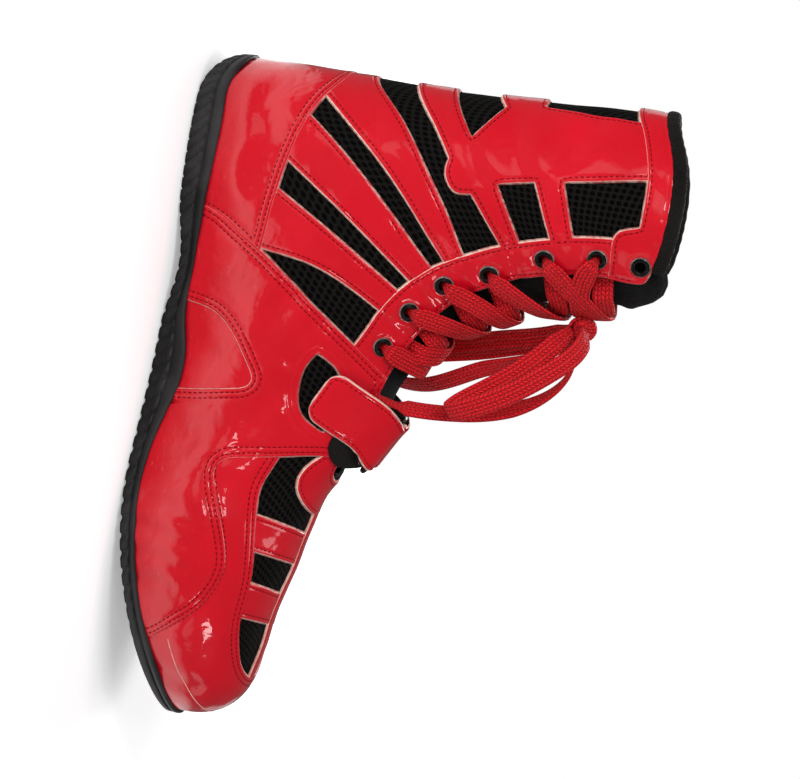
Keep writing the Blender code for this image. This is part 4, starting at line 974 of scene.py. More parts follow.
def stitch_panel(panel, turn, top, rows, highest=math.inf):
    """Rows of stitches along the panel's outer edge, where it is cut and lies under a height."""
    line, flags = panel.loops[0], panel.is_cut[0]
    low_enough = boot(line[:, 0], line[:, 1])[:, 2] < highest
    for amount in rows:
        moved = loop_inset(line, amount)
        clear = panel.distance(boot(moved[:, 0], moved[:, 1])) > STITCH_CLEAR * amount
        good = flags & clear & np.roll(flags, 1) & np.roll(flags, -1) & low_enough
        run = []
        order = list(range(len(line))) * 2
        first = next((i for i in range(len(line)) if not good[i]), 0)
        for i in order[first:first + len(line) + 1]:
            if good[i]:
                run.append(i)
            if (not good[i] or i == order[first + len(line)]) and len(run) > SHORTEST_ROW:
                s, ring = moved[run, 0], moved[run, 1] * turn
                add_stitches(skin(s, ring, np.full(len(run), top)), boot_frame(s, ring)[2], -STITCH_SINK)
            if not good[i]:
                run = []


def build_stitches():
    """All stitches as one mesh of small rounded bars."""
    sides, last = STITCH_SIDES, len(STITCH_RINGS) - 1
    points, faces = [], []
    for spot, along, up in stitch_places:
        across = np.cross(up, along)
        start = len(points)
        for place, size in STITCH_RINGS:
            sink = -STITCH_DIP * (abs(place) * 2) ** 3
            middle = spot + along * place * STITCH_LENGTH + up * sink
            for j in range(sides):
                turn = 2 * math.pi * j / sides
                offset = across * math.cos(turn) + up * math.sin(turn) * STITCH_FLATNESS
                points.append(middle + offset * STITCH_HALF_WIDTH * size)
        for k in range(last):
            for j in range(sides):
                a, b = start + k * sides + j, start + k * sides + (j + 1) % sides
                faces.append((a, b, b + sides, a + sides))
        faces.append(tuple(range(start + sides - 1, start - 1, -1)))
        faces.append(tuple(range(start + last * sides, start + (last + 1) * sides)))
    add_piece("panel_stitches", np.array(points), faces, [thread])


# Lines of the shoe from the side: x, z.
COLLAR_EDGE = ((-40.0, 196.6), (-20.0, 196.6), (-2.0, 196.7), (3.0, 197.4), (12.7, 201.2), (25.0, 204.6),
               (38.0, 205.5), (51.0, 204.8), (60.0, 203.2), (65.5, 201.2))
THROAT_EDGE = ((69.4, 196.5), (68.8, 184.0), (70.3, 168.0), (75.3, 149.0), (81.0, 136.0), (90.0, 122.5),
               (102.0, 111.8), (118.0, 102.5), (132.0, 97.5), (145.0, 93.5), (157.0, 88.6), (166.0, 84.6),
               (172.0, 83.4), (175.2, 85.0))
THROAT_TOP = ((65.5, 201.2), (68.4, 199.6), (69.4, 196.5))
SIDE_FRONT = ((164.0, 85.0), (164.6, 76.0), (168.0, 58.0), (170.6, 44.5), (172.6, 40.2), (177.0, 38.6),
              (190.0, 42.8), (205.0, 48.0), (215.0, 49.4), (224.0, 47.4), (233.0, 42.6), (243.0, 33.0),
              (252.0, 21.0), (258.0, 4.0))
ARCH_EDGE = ((147.0, -5.0), (145.6, 12.0), (142.8, 29.0), (140.8, 38.4), (139.2, 43.0), (136.4, 44.6),
             (132.4, 42.8), (126.0, 38.6), (119.0, 33.2), (113.2, 26.6), (110.2, 19.0), (108.0, -5.0))

HEEL_COUNTER = (
    ((-20.0, 66.0), (5.0, 60.5), (15.0, 55.0), (28.0, 49.5), (45.0, 45.0), (62.0, 42.5), (86.0, 40.0)),
    ((86.0, 40.0), (78.0, 27.0), (71.5, 14.0), (70.0, -5.0)),
    ((70.0, -5.0), (-20.0, -5.0)),
    ((-20.0, -5.0), (-20.0, 66.0)),
)
BAR_BACK = (
    ((-20.0, 60.0), (4.0, 54.0), (11.0, 50.0)),
    ((11.0, 50.0), (15.0, 55.0), (38.0, 83.0), (60.0, 103.5), (77.0, 118.0)),
    ((77.0, 118.0), (72.5, 127.0)),
    ((72.5, 127.0), (69.0, 124.0), (56.0, 116.5), (39.0, 105.0), (15.0, 86.0), (0.0, 71.5), (-20.0, 71.5)),
    ((-20.0, 71.5), (-20.0, 60.0)),
)
BAR_MIDDLE = (
    ((20.0, 46.5), (40.5, 40.5)),
    ((40.5, 40.5), (44.0, 45.2), (62.0, 72.0), (84.5, 102.0), (88.0, 106.5)),
    ((88.0, 106.5), (80.0, 115.0)),
    ((80.0, 115.0), (76.5, 111.0), (45.0, 79.0), (23.0, 51.5), (20.0, 46.5)),
)
BAR_FRONT = (
    ((52.0, 38.5), (80.5, 36.0)),
    ((80.5, 36.0), (82.0, 41.0), (85.5, 64.0), (99.0, 91.5), (102.0, 96.5)),
    ((102.0, 96.5), (92.0, 104.0)),
    ((92.0, 104.0), (88.5, 98.8), (69.0, 68.0), (55.0, 43.4), (52.0, 38.5)),
)
ANKLE_PANEL = (
    ((-20.0, 86.0), (0.0, 88.0), (18.0, 101.0), (31.6, 111.0)),
    ((31.6, 111.0), (36.5, 110.4), (41.5, 112.2), (44.8, 115.4), (45.6, 118.6), (45.0, 123.0)),
    ((45.0, 123.0), (63.0, 137.5), (67.0, 140.5)),
    ((67.0, 140.5), (63.0, 148.0)),
    ((63.0, 148.0), (59.6, 146.0), (39.0, 134.0)),
    ((39.0, 134.0), (36.0, 148.0)),
    ((36.0, 148.0), (56.8, 157.5), (60.5, 159.2)),
    ((60.5, 159.2), (58.0, 169.3)),
    ((58.0, 169.3), (54.4, 168.0), (34.0, 161.0)),
    ((34.0, 161.0), (28.0, 193.0), (27.3, 197.0)),
    ((27.3, 197.0), (17.0, 195.0), (3.8, 190.0)),
    ((3.8, 190.0), (3.8, 146.5)),
    ((3.8, 146.5), (-20.0, 145.5)),
    ((-20.0, 145.5), (-20.0, 124.0)),
    ((-20.0, 124.0), (0.0, 124.3), (7.0, 129.0)),
    ((7.0, 129.0), (20.6, 119.0)),
    ((20.6, 119.0), (0.0, 107.0), (-20.0, 106.0)),
    ((-20.0, 106.0), (-20.0, 86.0)),
)
EYESTAY = (
    ((118.0, 81.0), (114.0, 84.0), (99.0, 91.5), (86.0, 100.5), (75.0, 113.0), (68.0, 126.0), (61.5, 141.0),
     (56.5, 158.0), (53.5, 171.0), (52.0, 183.5), (51.6, 189.0)),
    ((51.6, 189.0), (69.2, 189.0)),
    ((69.2, 189.0), (68.8, 184.0), (70.3, 168.0), (75.3, 149.0), (81.0, 136.0), (90.0, 122.5),
     (102.0, 111.8), (118.0, 102.5), (132.0, 97.5)),
    ((132.0, 97.5), (118.0, 81.0)),
)
COLLAR_BAND = (
    ((-20.0, 183.0), (0.0, 183.5), (8.0, 187.0), (19.0, 191.0), (28.0, 193.0), (46.0, 193.5)),
    ((46.0, 193.5), (47.2, 189.5), (49.0, 185.4), (53.0, 183.4), (60.0, 183.5), (68.9, 184.0)),
    ((68.9, 184.0), (69.4, 190.0), (69.4, 196.5), (68.4, 199.6), (65.5, 201.2)),
    tuple(reversed(COLLAR_EDGE[1:])),
    ((-20.0, 196.6), (-20.0, 183.0)),
)
SIDE_PANEL = (
    ((66.0, -5.0), (67.5, 15.0), (74.0, 27.5), (82.0, 41.0), (98.0, 62.5), (114.0, 84.0), (126.5, 99.2)),
    ((126.5, 99.2), (132.0, 97.5), (145.0, 93.5), (157.0, 88.6), (164.0, 85.4)),
    ((164.0, 85.4),) + SIDE_FRONT[1:],
    (SIDE_FRONT[-1], (256.0, -12.0), (147.0, -5.0)),
    ARCH_EDGE,
    ((108.0, -5.0), (66.0, -5.0)),
)
STRAP_SLOT = (
    ((121.6, 70.2), (128.0, 66.6), (138.0, 65.6), (147.0, 68.2), (153.0, 77.0)),
    ((153.0, 77.0), (145.0, 82.0), (131.0, 81.0)),
    ((131.0, 81.0), (126.0, 77.5), (121.6, 70.2)),
)
ARCH_PATCH = (
    ((151.0, -5.0), (149.8, 12.0), (147.0, 30.0), (144.0, 43.0), (138.0, 48.6), (129.0, 46.6),
     (118.0, 39.0), (109.5, 29.0), (106.0, 16.0), (104.0, -5.0)),
    ((104.0, -5.0), (151.0, -5.0)),
)
# Toe pieces from above: x, y.
TOE_EGG = ((160.0, -31.4), (166.0, -32.0), (178.0, -34.6), (189.0, -36.0), (208.0, -35.6), (225.0, -33.4),
           (240.0, -32.3), (250.0, -29.5), (258.0, -25.0), (264.0, -18.0), (267.0, -9.0), (266.0, -1.0),
           (261.0, 7.0), (252.0, 14.0), (240.0, 19.0), (226.0, 22.5), (214.0, 27.0), (203.0, 32.5),
           (190.0, 36.6), (178.0, 38.2), (160.0, 38.4))
TOE_STRIP = (((187.0, -9.0), (272.0, -13.9)), ((272.0, -13.9), (272.0, -4.2)), ((272.0, -4.2),
             (187.0, 1.0)), ((187.0, 1.0), (187.0, -9.0)))
TOE_BAR_BACK = (((190.5, -39.0), (201.0, -4.0), (206.0, 40.0)), ((206.0, 40.0), (222.0, 36.0)),
                ((222.0, 36.0), (216.5, -4.0), (207.5, -39.0)), ((207.5, -39.0), (190.5, -39.0)))
TOE_BAR_FRONT = (((220.0, -37.0), (229.0, -5.0), (233.0, 29.0)), ((233.0, 29.0), (249.0, 24.0)),
                 ((249.0, 24.0), (244.5, -5.0), (237.0, -36.5)), ((237.0, -36.5), (220.0, -37.0)))
VAMP_OVAL = (
    ((161.0, -22.0), (168.0, -25.6), (176.0, -26.4), (185.0, -21.5), (191.0, -12.0), (193.0, -1.5),
     (191.0, 9.0), (185.0, 18.5), (176.0, 23.4), (168.0, 22.6), (161.0, 19.0)),
    ((161.0, 19.0), (161.0, 12.2)),
    ((161.0, 12.2), (168.0, 12.0), (172.4, 9.0), (175.0, 4.0), (175.6, -1.6), (175.0, -7.0), (172.4, -12.2),
     (168.0, -15.0), (161.0, -15.2)),
    ((161.0, -15.2), (161.0, -22.0)),
)
# Hidden rear edge of the toe cap, under the side panel, from the egg down to the sole.
TOE_REAR = ((160.0, 55.5), (164.5, 42.0), (170.0, 35.0), (177.0, 33.6), (190.0, 38.0), (205.0, 43.2),
            (215.0, 44.6), (222.0, 43.0), (230.0, 38.6), (239.0, 29.6), (247.0, 18.0), (253.0, 2.0))


# Eyelets of one side, from the instep to the collar: x, z.
EYELETS = ((113.6, 95.4), (97.0, 104.2), (83.3, 117.0), (75.4, 135.2), (65.2, 157.2), (61.6, 179.0),
           (61.6, 197.0))
LACED_EYELETS = 6
EYELET_HOLE = 2.5
HOLE_SIDES = 14


def hole_loop(x, z, radius):
    """Round loop on the boot's outer side about the place that shows at (x, z)."""
    s, ring = locate(np.array([x]), np.array([z]))
    along, around, normal = (vectors[0] for vectors in boot_frame(s, ring))
    first = unit(along)
    second = np.cross(normal, first)
    turns = np.linspace(0.0, 2 * np.pi, HOLE_SIDES, endpoint=False)[:, None]
    offsets = radius * (np.cos(turns) * first + np.sin(turns) * second)
    steps = np.linalg.lstsq(np.stack((along, around), axis=1), offsets.T, rcond=None)[0].T
    return np.stack((s[0] + steps[:, 0], ring[0] + steps[:, 1]), axis=-1)


def eyelet_holes(first, last):
    return [hole_loop(x, z, EYELET_HOLE) for x, z in EYELETS[first:last]]


SOLE_JOINT_POINTS = 60


def toe_cap_loop():
    """Toe cap on the chart: egg edge, then down the outer side, round the toe and up the inner side."""
    egg = on_chart(smooth_line(TOE_EGG, OUTLINE_PITCH), locate_above)
    outer = on_chart(smooth_line(TOE_REAR, OUTLINE_PITCH))
    inner = outer[::-1] * (1, -1)
    count = SOLE_JOINT_POINTS
    sole = np.stack((np.linspace(outer[-1, 0], 0.0, count), np.ones(count)), axis=-1)
    tip = np.stack((np.zeros(count), np.linspace(1.0, -1.0, count)), axis=-1)
    back = sole[::-1] * (1, -1)
    return np.concatenate((egg, outer[1:], sole[1:], tip[1:], back[1:], inner[1:]))


# Heights of the panels over the skin, by layer.
LOW_LAYER = 0.85
MIDDLE_LAYER = 1.3
HIGH_LAYER = 1.75
# Panels that go round the back: name, outline, height, double row, upper limit of the stitches.
BACK_PANELS = (
    ("quarter_bar_back", BAR_BACK, LOW_LAYER, False, math.inf),
    ("heel_counter", HEEL_COUNTER, MIDDLE_LAYER, True, math.inf),
    ("ankle_panel", ANKLE_PANEL, MIDDLE_LAYER, False, math.inf),
    ("collar_band", COLLAR_BAND, HIGH_LAYER, False, 194.5),
)
# Panels that each side has: name, outline, height, double row.
SIDE_PANELS = (
    ("arch_patch", ARCH_PATCH, LOW_LAYER, False),
    ("quarter_bar_middle", BAR_MIDDLE, LOW_LAYER, False),
    ("quarter_bar_front", BAR_FRONT, LOW_LAYER, False),
    ("eyestay", EYESTAY, MIDDLE_LAYER, False),
    ("side_panel", SIDE_PANEL, HIGH_LAYER, True),
)
# Panels on top of the toe: name, CAD node, outline, height.
TOE_PANELS = (
    ("toe_bar_back", "toe_ladder", TOE_BAR_BACK, 0.75),
    ("toe_bar_front", "toe_ladder", TOE_BAR_FRONT, 0.75),
    ("toe_strip", "toe_ladder", TOE_STRIP, 1.15),
    ("vamp_oval", "vamp_oval", VAMP_OVAL, MIDDLE_LAYER - 0.1),
)


def make_panels():
    """All patent panels with their stitches; the arch patches have none."""
    for name, runs, top, double, highest in BACK_PANELS:
        holes = eyelet_holes(LACED_EYELETS, len(EYELETS)) if name == "collar_band" else []
        panel = Panel(outline_loop(runs), holes, ROWS_DOUBLE if double else ROWS_SINGLE)
        build_panel(f"{name}_patent", [(panel, 1), (panel, -1)], top, [name], double)
        for turn in (1, -1):
            stitch_panel(panel, turn, top, STITCH_ROWS if double else STITCH_ROWS[:1], highest)
    slot = outline_loop(STRAP_SLOT)
    for side, turn in (("inner", -1), ("outer", 1)):
        for name, runs, top, double in SIDE_PANELS:
            holes = [slot] if name == "side_panel" and turn < 0 else []
            if name == "eyestay":
                holes = eyelet_holes(0, LACED_EYELETS)
            panel = Panel(outline_loop(runs), holes, ROWS_DOUBLE if double else ROWS_SINGLE)
            build_panel(f"{name}_{side}_patent", [(panel, turn)], top, [f"{name}_{side}"], double)
            if name != "arch_patch":
                stitch_panel(panel, turn, top, STITCH_ROWS if double else STITCH_ROWS[:1])
    cap = Panel(toe_cap_loop(), rows=ROWS_DOUBLE)
    build_panel("toe_cap_patent", [(cap, 1)], MIDDLE_LAYER, ["toe_cap"], True)
    stitch_panel(cap, 1, MIDDLE_LAYER, STITCH_ROWS)
    for name, node, runs, top in TOE_PANELS:
        panel = Panel(outline_loop(runs, "above"), rows=ROWS_SINGLE)
        build_panel(f"{name}_patent", [(panel, 1)], top, [node])
        stitch_panel(panel, 1, top, STITCH_ROWS[:1])


BOOT_PITCH = 2.2
BOOT_TIP = 0.002
RIDGE_POINTS = 90
BACK_POINTS = 220
TIP_POINTS = 30


def make_upper():
    """Mesh boot with its lining, open at the collar, the throat and underneath."""
    lines = [smooth_line(edge, OUTLINE_PITCH) for edge in (THROAT_EDGE, THROAT_TOP, COLLAR_EDGE[1:])]
    throat, corner, collar = (on_chart(line) for line in lines)
    ridge = np.stack((np.linspace(BOOT_TIP, throat[-1, 0], RIDGE_POINTS), np.zeros(RIDGE_POINTS)), axis=-1)
    back = np.stack((np.linspace(collar[0, 0], BOOT_TIP, BACK_POINTS), np.ones(BACK_POINTS)), axis=-1)
    tip = np.stack((np.full(TIP_POINTS, BOOT_TIP), np.linspace(1.0, 0.0, TIP_POINTS)), axis=-1)
    loop = np.concatenate((ridge, throat[::-1], corner[::-1][1:], collar[::-1][1:], back[1:], tip[1:-1]))
    panel = Panel(loop, eyelet_holes(0, len(EYELETS)), pitch=BOOT_PITCH)
    mesh_points, faces, kinds, uv = [], [], [], []
    for turn in (1, -1):
        ring = panel.ring * turn
        start = len(mesh_points)
        outside = skin(panel.s, ring, np.zeros(len(ring)))
        inside = skin(panel.s, ring, np.full(len(ring), -WALL))
        mesh_points += list(outside) + list(inside)
        size = len(ring)
        for face in panel.faces:
            order = face if turn > 0 else face[::-1]
            faces.append(tuple(start + i for i in order))
            kinds.append(0)
            faces.append(tuple(start + size + i for i in order[::-1]))
            kinds.append(1)
        uv += [(u, v * turn) for u, v in panel.chart] * 2
        sides = [side for face in panel.faces for side in zip(face, np.roll(face, -1))]
        count = collections.Counter(frozenset(side) for side in sides)
        for a, b in sides:
            if count[frozenset((a, b))] == 1 and not on_joint(panel, a, b):
                quad = (start + b, start + a, start + size + a, start + size + b)
                faces.append(quad if turn > 0 else quad[::-1])
                kinds.append(1)
    piece = add_piece("boot_mesh", np.array(mesh_points), faces, [air_mesh, lining_cloth],
                      ["upper"], kinds, uv)
    mesh = bmesh.new()
    mesh.from_mesh(piece.data)
    merge_seams(mesh)
    mesh.to_mesh(piece.data)
    mesh.free()


def on_joint(panel, a, b):
    """True for an edge where the boot's two halves meet: ridge, toe tip or back line."""
    on_ridge = abs(panel.ring[a]) < 1e-6 and abs(panel.ring[b]) < 1e-6
    on_tip = panel.s[a] < 0.01 and panel.s[b] < 0.01
    at_back = min(panel.s[a], panel.s[b]) >= FOOT_ROWS - 0.01
    on_back = min(panel.ring[a], panel.ring[b]) > JOINT_RING and at_back
    return on_ridge or on_tip or on_back


# Sole's wall from the floor edge to its lip: share of the wall's height, step outwards.
WALL_ROWS = ((0.0, -2.4), (0.03, -1.2), (0.09, -0.4), (0.18, -0.05), (0.3, 0.0), (0.42, 0.0),
             (0.50, -0.05), (0.545, -0.25), (0.575, -0.8), (0.605, -0.8), (0.64, -0.1), (0.69, 0.1),
             (0.80, 0.1), (0.90, 0.0), (0.96, -0.25), (1.0, -0.8), (1.0, -2.4))
RIBBED_TOP = 0.55
SOLE_STATIONS = 620
TREAD_COLUMNS = 26
SOLE_TAPER = 10.0
RIM_END = 284.0
# Ribs on the wall by place: x, pitch, depth, lean.
RIBS = ((0.0, 5.2, 0.2, 0.9), (5.0, 5.2, 1.1, 0.9), (60.0, 5.4, 1.1, 0.9), (90.0, 6.0, 0.8, 0.9),
        (125.0, 6.6, 0.9, 0.8), (180.0, 7.4, 1.0, 0.6), (225.0, 7.4, 0.8, 0.6), (262.0, 7.4, 0.0, 0.6),
        (290.0, 7.4, 0.0, 0.6))
RIB_NOTCH = 0.45
RIB_NOTCH_TOP = 0.3
# A groove starts at this share of a rib's half pitch from its middle, and has its full depth a little on.
RIB_SHARE = 0.50
RIB_SLOPE = 0.32
RIM_LEAST_LEAN = 0.5
RIM_FOLLOW = 1.5
RIM_START = 10.0
RIM_END_FADE = 14.0
TREAD_PITCH = 7.0
TREAD_DEPTH = 1.1
TREAD_ZIGZAG = 9.0
TREAD_ZIGZAG_PITCH = 16.0
TREAD_SHARE = 0.55
TREAD_SLOPE = 0.2
TREAD_BORDER = 8
SOLE_BED_ROWS = 7
SOLE_BED_MARGIN = 0.04


def sole_wall(x, z, side, step):
    """Outer y of the sole's wall: its outline from above, or the boot's side and the rim where wider."""
    half = plan_half_width(x)
    y = half + step * np.minimum(half / SOLE_TAPER, 1.0)
    s, ring = locate(x, z)
    lean = np.maximum(np.abs(boot_frame(s, side * ring)[2][..., 1]), RIM_LEAST_LEAN)
    boot_y = side * (boot(s, side * ring)[..., 1] - centre_curve(x)) + RIM / lean + step
    follows = np.clip((z - foot_bed(x)) / RIM_FOLLOW, 0.0, 1.0)
    fade = np.clip(np.minimum(x - RIM_START, RIM_END - x) / RIM_END_FADE, 0.0, 1.0)
    y = y + np.maximum(boot_y - y, 0.0) * fade * follows
    return centre_curve(x) + side * y


def tube_faces(count, size, closed=False):
    """Faces between count rows that go round a tube, with size points each; open tubes have flat ends."""
    faces = []
    for k in range(count):
        after = (k + 1) % count
        for i in range(size if closed else size - 1):
            j = (i + 1) % size
            faces.append((k * size + i, k * size + j, after * size + j, after * size + i))
    if not closed:
        faces.append(tuple(k * size for k in range(count)))
        faces.append(tuple(k * size + size - 1 for k in reversed(range(count))))
    return faces


def grooves(phase, share, slope):
    """Depth of grooves from 0 to 1, one for each whole number of the phase."""
    beat = np.abs(phase % 1.0 - 0.5) * 2
    return np.clip((beat - share) / slope, 0.0, 1.0)


def make_sole():
    """Cup sole: ribbed lower band, groove, smooth upper band, lip and a zigzag tread."""
    x = LENGTH * (1 - np.cos(np.linspace(0.0, np.pi, SOLE_STATIONS))) / 2
    rib_x, rib_pitch, rib_depth, rib_lean = columns(RIBS)
    rings = []
    for side in (-1, 1):
        edge = np.stack((x, centre_curve(x) + side * plan_half_width(x)), axis=-1)
        steps = np.linalg.norm(np.diff(edge, axis=0), axis=1)
        middle_x = (x[1:] + x[:-1]) / 2
        phase = np.concatenate(([0.0], np.cumsum(steps / np.interp(middle_x, rib_x, rib_pitch))))
        wall = wall_height(side, x)
        rows = []
        for share, step in WALL_ROWS:
            lean = np.interp(x, rib_x, rib_lean) * share * wall / np.interp(x, rib_x, rib_pitch)
            groove = grooves(phase + lean, RIB_SHARE, RIB_SLOPE)
            groove = groove * groove * (3 - 2 * groove)
            depth = np.interp(x, rib_x, rib_depth) * groove if share < RIBBED_TOP else 0.0 * groove
            inset = step - depth
            z = sole_bottom(x) + share * wall + RIB_NOTCH * depth * max(1 - share / RIB_NOTCH_TOP, 0.0)
            spread = 1 + inset / (LENGTH / 2)
            wide_x = (x - LENGTH / 2) * spread + LENGTH / 2
            rows.append(np.stack((wide_x, sole_wall(x, z, side, inset), z), axis=-1))
        rings.append(rows)
    inner, outer = rings
    across = np.linspace(0.0, 1.0, TREAD_COLUMNS + 2)[1:-1]
    under = []
    for share in across:
        place = outer[0] + (inner[0] - outer[0]) * share
        zigzag = np.abs(((place[:, 1] / TREAD_ZIGZAG_PITCH) % 1.0) - 0.5) * 2
        groove = grooves((place[:, 0] + TREAD_ZIGZAG * zigzag) / TREAD_PITCH, TREAD_SHARE, TREAD_SLOPE)
        edge = np.minimum(np.minimum(share, 1 - share) * TREAD_BORDER, 1.0)
        under.append(place + np.stack((groove * 0, groove * 0, groove * TREAD_DEPTH * edge), axis=-1))
    bed = []
    for share in np.linspace(0.0, 1.0, SOLE_BED_ROWS):
        inward = SOLE_BED_MARGIN + (1 - 2 * SOLE_BED_MARGIN) * share
        place = inner[-1] + (outer[-1] - inner[-1]) * inward
        place[:, 2] = np.minimum(foot_bed(x), place[:, 2])
        bed.append(place)
    ring = inner + bed + outer[::-1] + under
    faces = tube_faces(len(ring), len(x))
    add_piece("cup_sole", np.concatenate(ring), faces, [rubber], ["outsole"])


INSOLE = 3.0
INSOLE_START = 12.0
INSOLE_END = 279.0
INSOLE_STATIONS = 90
INSOLE_MARGIN = 4.2
# Half section of the footbed, from its lower edge inwards: share of the half width, of the thickness.
INSOLE_PROFILE = ((1.0, 0.0), (1.0, 0.55), (0.97, 0.85), (0.9, 1.0), (0.6, 1.0), (0.2, 1.0))


def make_insole():
    """Footbed with rounded edges."""
    x = np.linspace(INSOLE_START, INSOLE_END, INSOLE_STATIONS)
    half = plan_half_width(bed_to_plan(x)) * FEATHER - INSOLE_MARGIN
    ends = np.minimum((x - INSOLE_START + 1.0) / 6.0, (INSOLE_END + 1.5 - x) / 10.0)
    half *= np.clip(ends, 0.05, 1.0) ** 0.5
    profile = [(-out, rise) for out, rise in INSOLE_PROFILE] + list(reversed(INSOLE_PROFILE))
    middle = centre_curve(bed_to_plan(x))
    base = foot_bed(x) + BED_GAP
    rows = [np.stack((x, middle + half * out, base + INSOLE * rise), axis=-1) for out, rise in profile]
    points, faces = grid_faces(rows)
    add_piece("footbed", points, faces, [lining_cloth], ["insole"])


def grid_faces(rows):
    """Points and faces of a tube with flat ends, whose rows go round it the other way."""
    *quads, first_end, last_end = tube_faces(len(rows), len(rows[0]))
    faces = [(a, d, c, b) for a, b, c, d in quads] + [first_end[::-1], last_end[::-1]]
    return np.concatenate(rows), faces


TONGUE = 3.0
TONGUE_HALF_RING = 0.375
TONGUE_GAP = 1.4
TONGUE_FIRST_SECTION = 9.0
TONGUE_TIP_SECTION = 22.0
TONGUE_COLUMNS = 45
TONGUE_STATIONS = 110
TONGUE_SIDE_ROUNDING = 9
TONGUE_TIP_ROUNDING = 30
TONGUE_WAVE = 0.35
TONGUE_TIP = ((40.0, 196.0), (58.0, 204.5), (70.0, 207.8), (76.0, 206.5), (80.5, 202.5), (85.0, 195.0))


def make_tongue():
    """Padded tongue under the laces, up to its rounded tip."""
    ring = TONGUE_HALF_RING * np.linspace(-1.0, 1.0, TONGUE_COLUMNS)
    tip_x, tip_z = columns(TONGUE_TIP)
    low, high = np.full(ring.shape, TONGUE_TIP_SECTION), np.full(ring.shape, float(LAST_SECTION))
    for _ in range(HALVINGS):
        s = (low + high) / 2
        point = boot(s, ring)
        inside = point[:, 2] < np.interp(point[:, 0], tip_x, tip_z)
        low, high = np.where(inside, s, low), np.where(inside, high, s)
    shares = np.linspace(0.0, 1.0, TONGUE_STATIONS)
    places = TONGUE_FIRST_SECTION + (low - TONGUE_FIRST_SECTION) * shares[:, None]
    rings = np.broadcast_to(ring, places.shape)
    side_edge = np.minimum((1 - np.abs(ring) / TONGUE_HALF_RING) * TONGUE_SIDE_ROUNDING, 1.0)
    tip_edge = np.minimum((1 - shares) * TONGUE_TIP_ROUNDING, 1.0)
    plump = np.sqrt(np.clip(side_edge * tip_edge[:, None], 0.0, 1.0))
    wave = TONGUE_WAVE * np.sin(places * 5.1 + 2 * np.cos(rings * 9)) * plump
    depth = -WALL - TONGUE_GAP - TONGUE / 2
    middle, normal = boot(places, rings), boot_frame(places, rings)[2]
    top = middle + normal * (depth + TONGUE / 2 * plump + wave)[..., None]
    base = middle + normal * (depth - TONGUE / 2 * plump)[..., None]
    rows = [top[:, j] for j in range(len(ring))] + [base[:, j] for j in reversed(range(len(ring)))]
    points, faces = grid_faces(rows)
    piece = add_piece("tongue_pad", points, faces, [lining_cloth], ["tongue"])


BINDING_FRONT = 64.0
BINDING_BACK = -1.2
BINDING_STATIONS = 130
BINDING_SIDES = 18
# Reach of the roll outwards and inwards from the collar's edge, and how much less inwards at the front.
BINDING_OUT = 2.9
BINDING_IN = 3.3
BINDING_SLIMMER = 1.4
# Half the roll's height, and its middle over the collar's edge.
BINDING_HALF_HEIGHT = 3.1
BINDING_RISE = 1.6
BINDING_SLIM_START = 25.0
BINDING_END = 3.0
BINDING_PUCKER = 0.035
collar_edge = Spline(*columns(COLLAR_EDGE))


def make_binding():
    """Padded roll on the collar's edge with small puckers."""
    middle = (BINDING_FRONT + BINDING_BACK) / 2
    x = middle + (BINDING_FRONT - middle) * np.cos(np.linspace(0.0, np.pi, BINDING_STATIONS))
    s, ring = locate(x, collar_edge(x))
    ring = np.minimum(ring, JOINT_RING)
    s = np.concatenate((s, s[::-1][1:]))
    ring = np.concatenate((-ring, ring[::-1][1:]))
    path = skin(s, ring, np.zeros(len(s)))
    outward = boot_frame(s, ring)[2]
    along = unit(np.gradient(path, axis=0))
    up = unit(np.cross(along, outward))
    up *= np.sign(up[:, 2:3])
    normal = unit(np.cross(up, along))
    normal *= np.sign((normal * outward).sum(-1, keepdims=True))
    lengths = run_lengths(path)
    ends = np.minimum(lengths, lengths[-1] - lengths)
    pucker = 1 + BINDING_PUCKER * np.sin(lengths * 1.1 + 2 * np.sin(lengths * 0.17))
    size = np.sqrt(np.clip(ends / BINDING_END, 0.02, 1.0)) * pucker
    both_x = np.concatenate((x, x[::-1][1:]))
    slim = np.clip((both_x - BINDING_SLIM_START) / (BINDING_FRONT - BINDING_SLIM_START), 0.0, 1.0)
    rows = []
    for turn in np.linspace(0.0, 2 * np.pi, BINDING_SIDES, endpoint=False):
        cos, sin = math.cos(turn), math.sin(turn)
        reach = np.where(cos > 0, BINDING_OUT, BINDING_IN - BINDING_SLIMMER * slim)
        out = reach * np.sign(cos) * abs(cos) ** 0.8
        rise = BINDING_HALF_HEIGHT * np.sign(sin) * abs(sin) ** 0.75
        rows.append(path + normal * (out * size)[:, None] + up * (rise * size + BINDING_RISE)[:, None])
    points, faces = grid_faces(rows)
    piece = add_piece("collar_roll", points, faces, [binding_cloth], ["collar_binding"])


# Turned eyelet: radius, height over the panel, 1 for the bare metal rim, whose colour is lightened as a
# painted glint.
EYELET_PROFILE = ((2.15, -3.2, 0), (2.15, 0.55, 0), (2.3, 0.85, 0), (2.7, 1.02, 0), (3.3, 0.95, 0),
                  (3.9, 0.62, 1), (4.3, 0.2, 1), (4.3, -0.1, 1), (2.45, -0.1, 0), (2.45, -3.2, 0))
EYELET_SIDES = 36


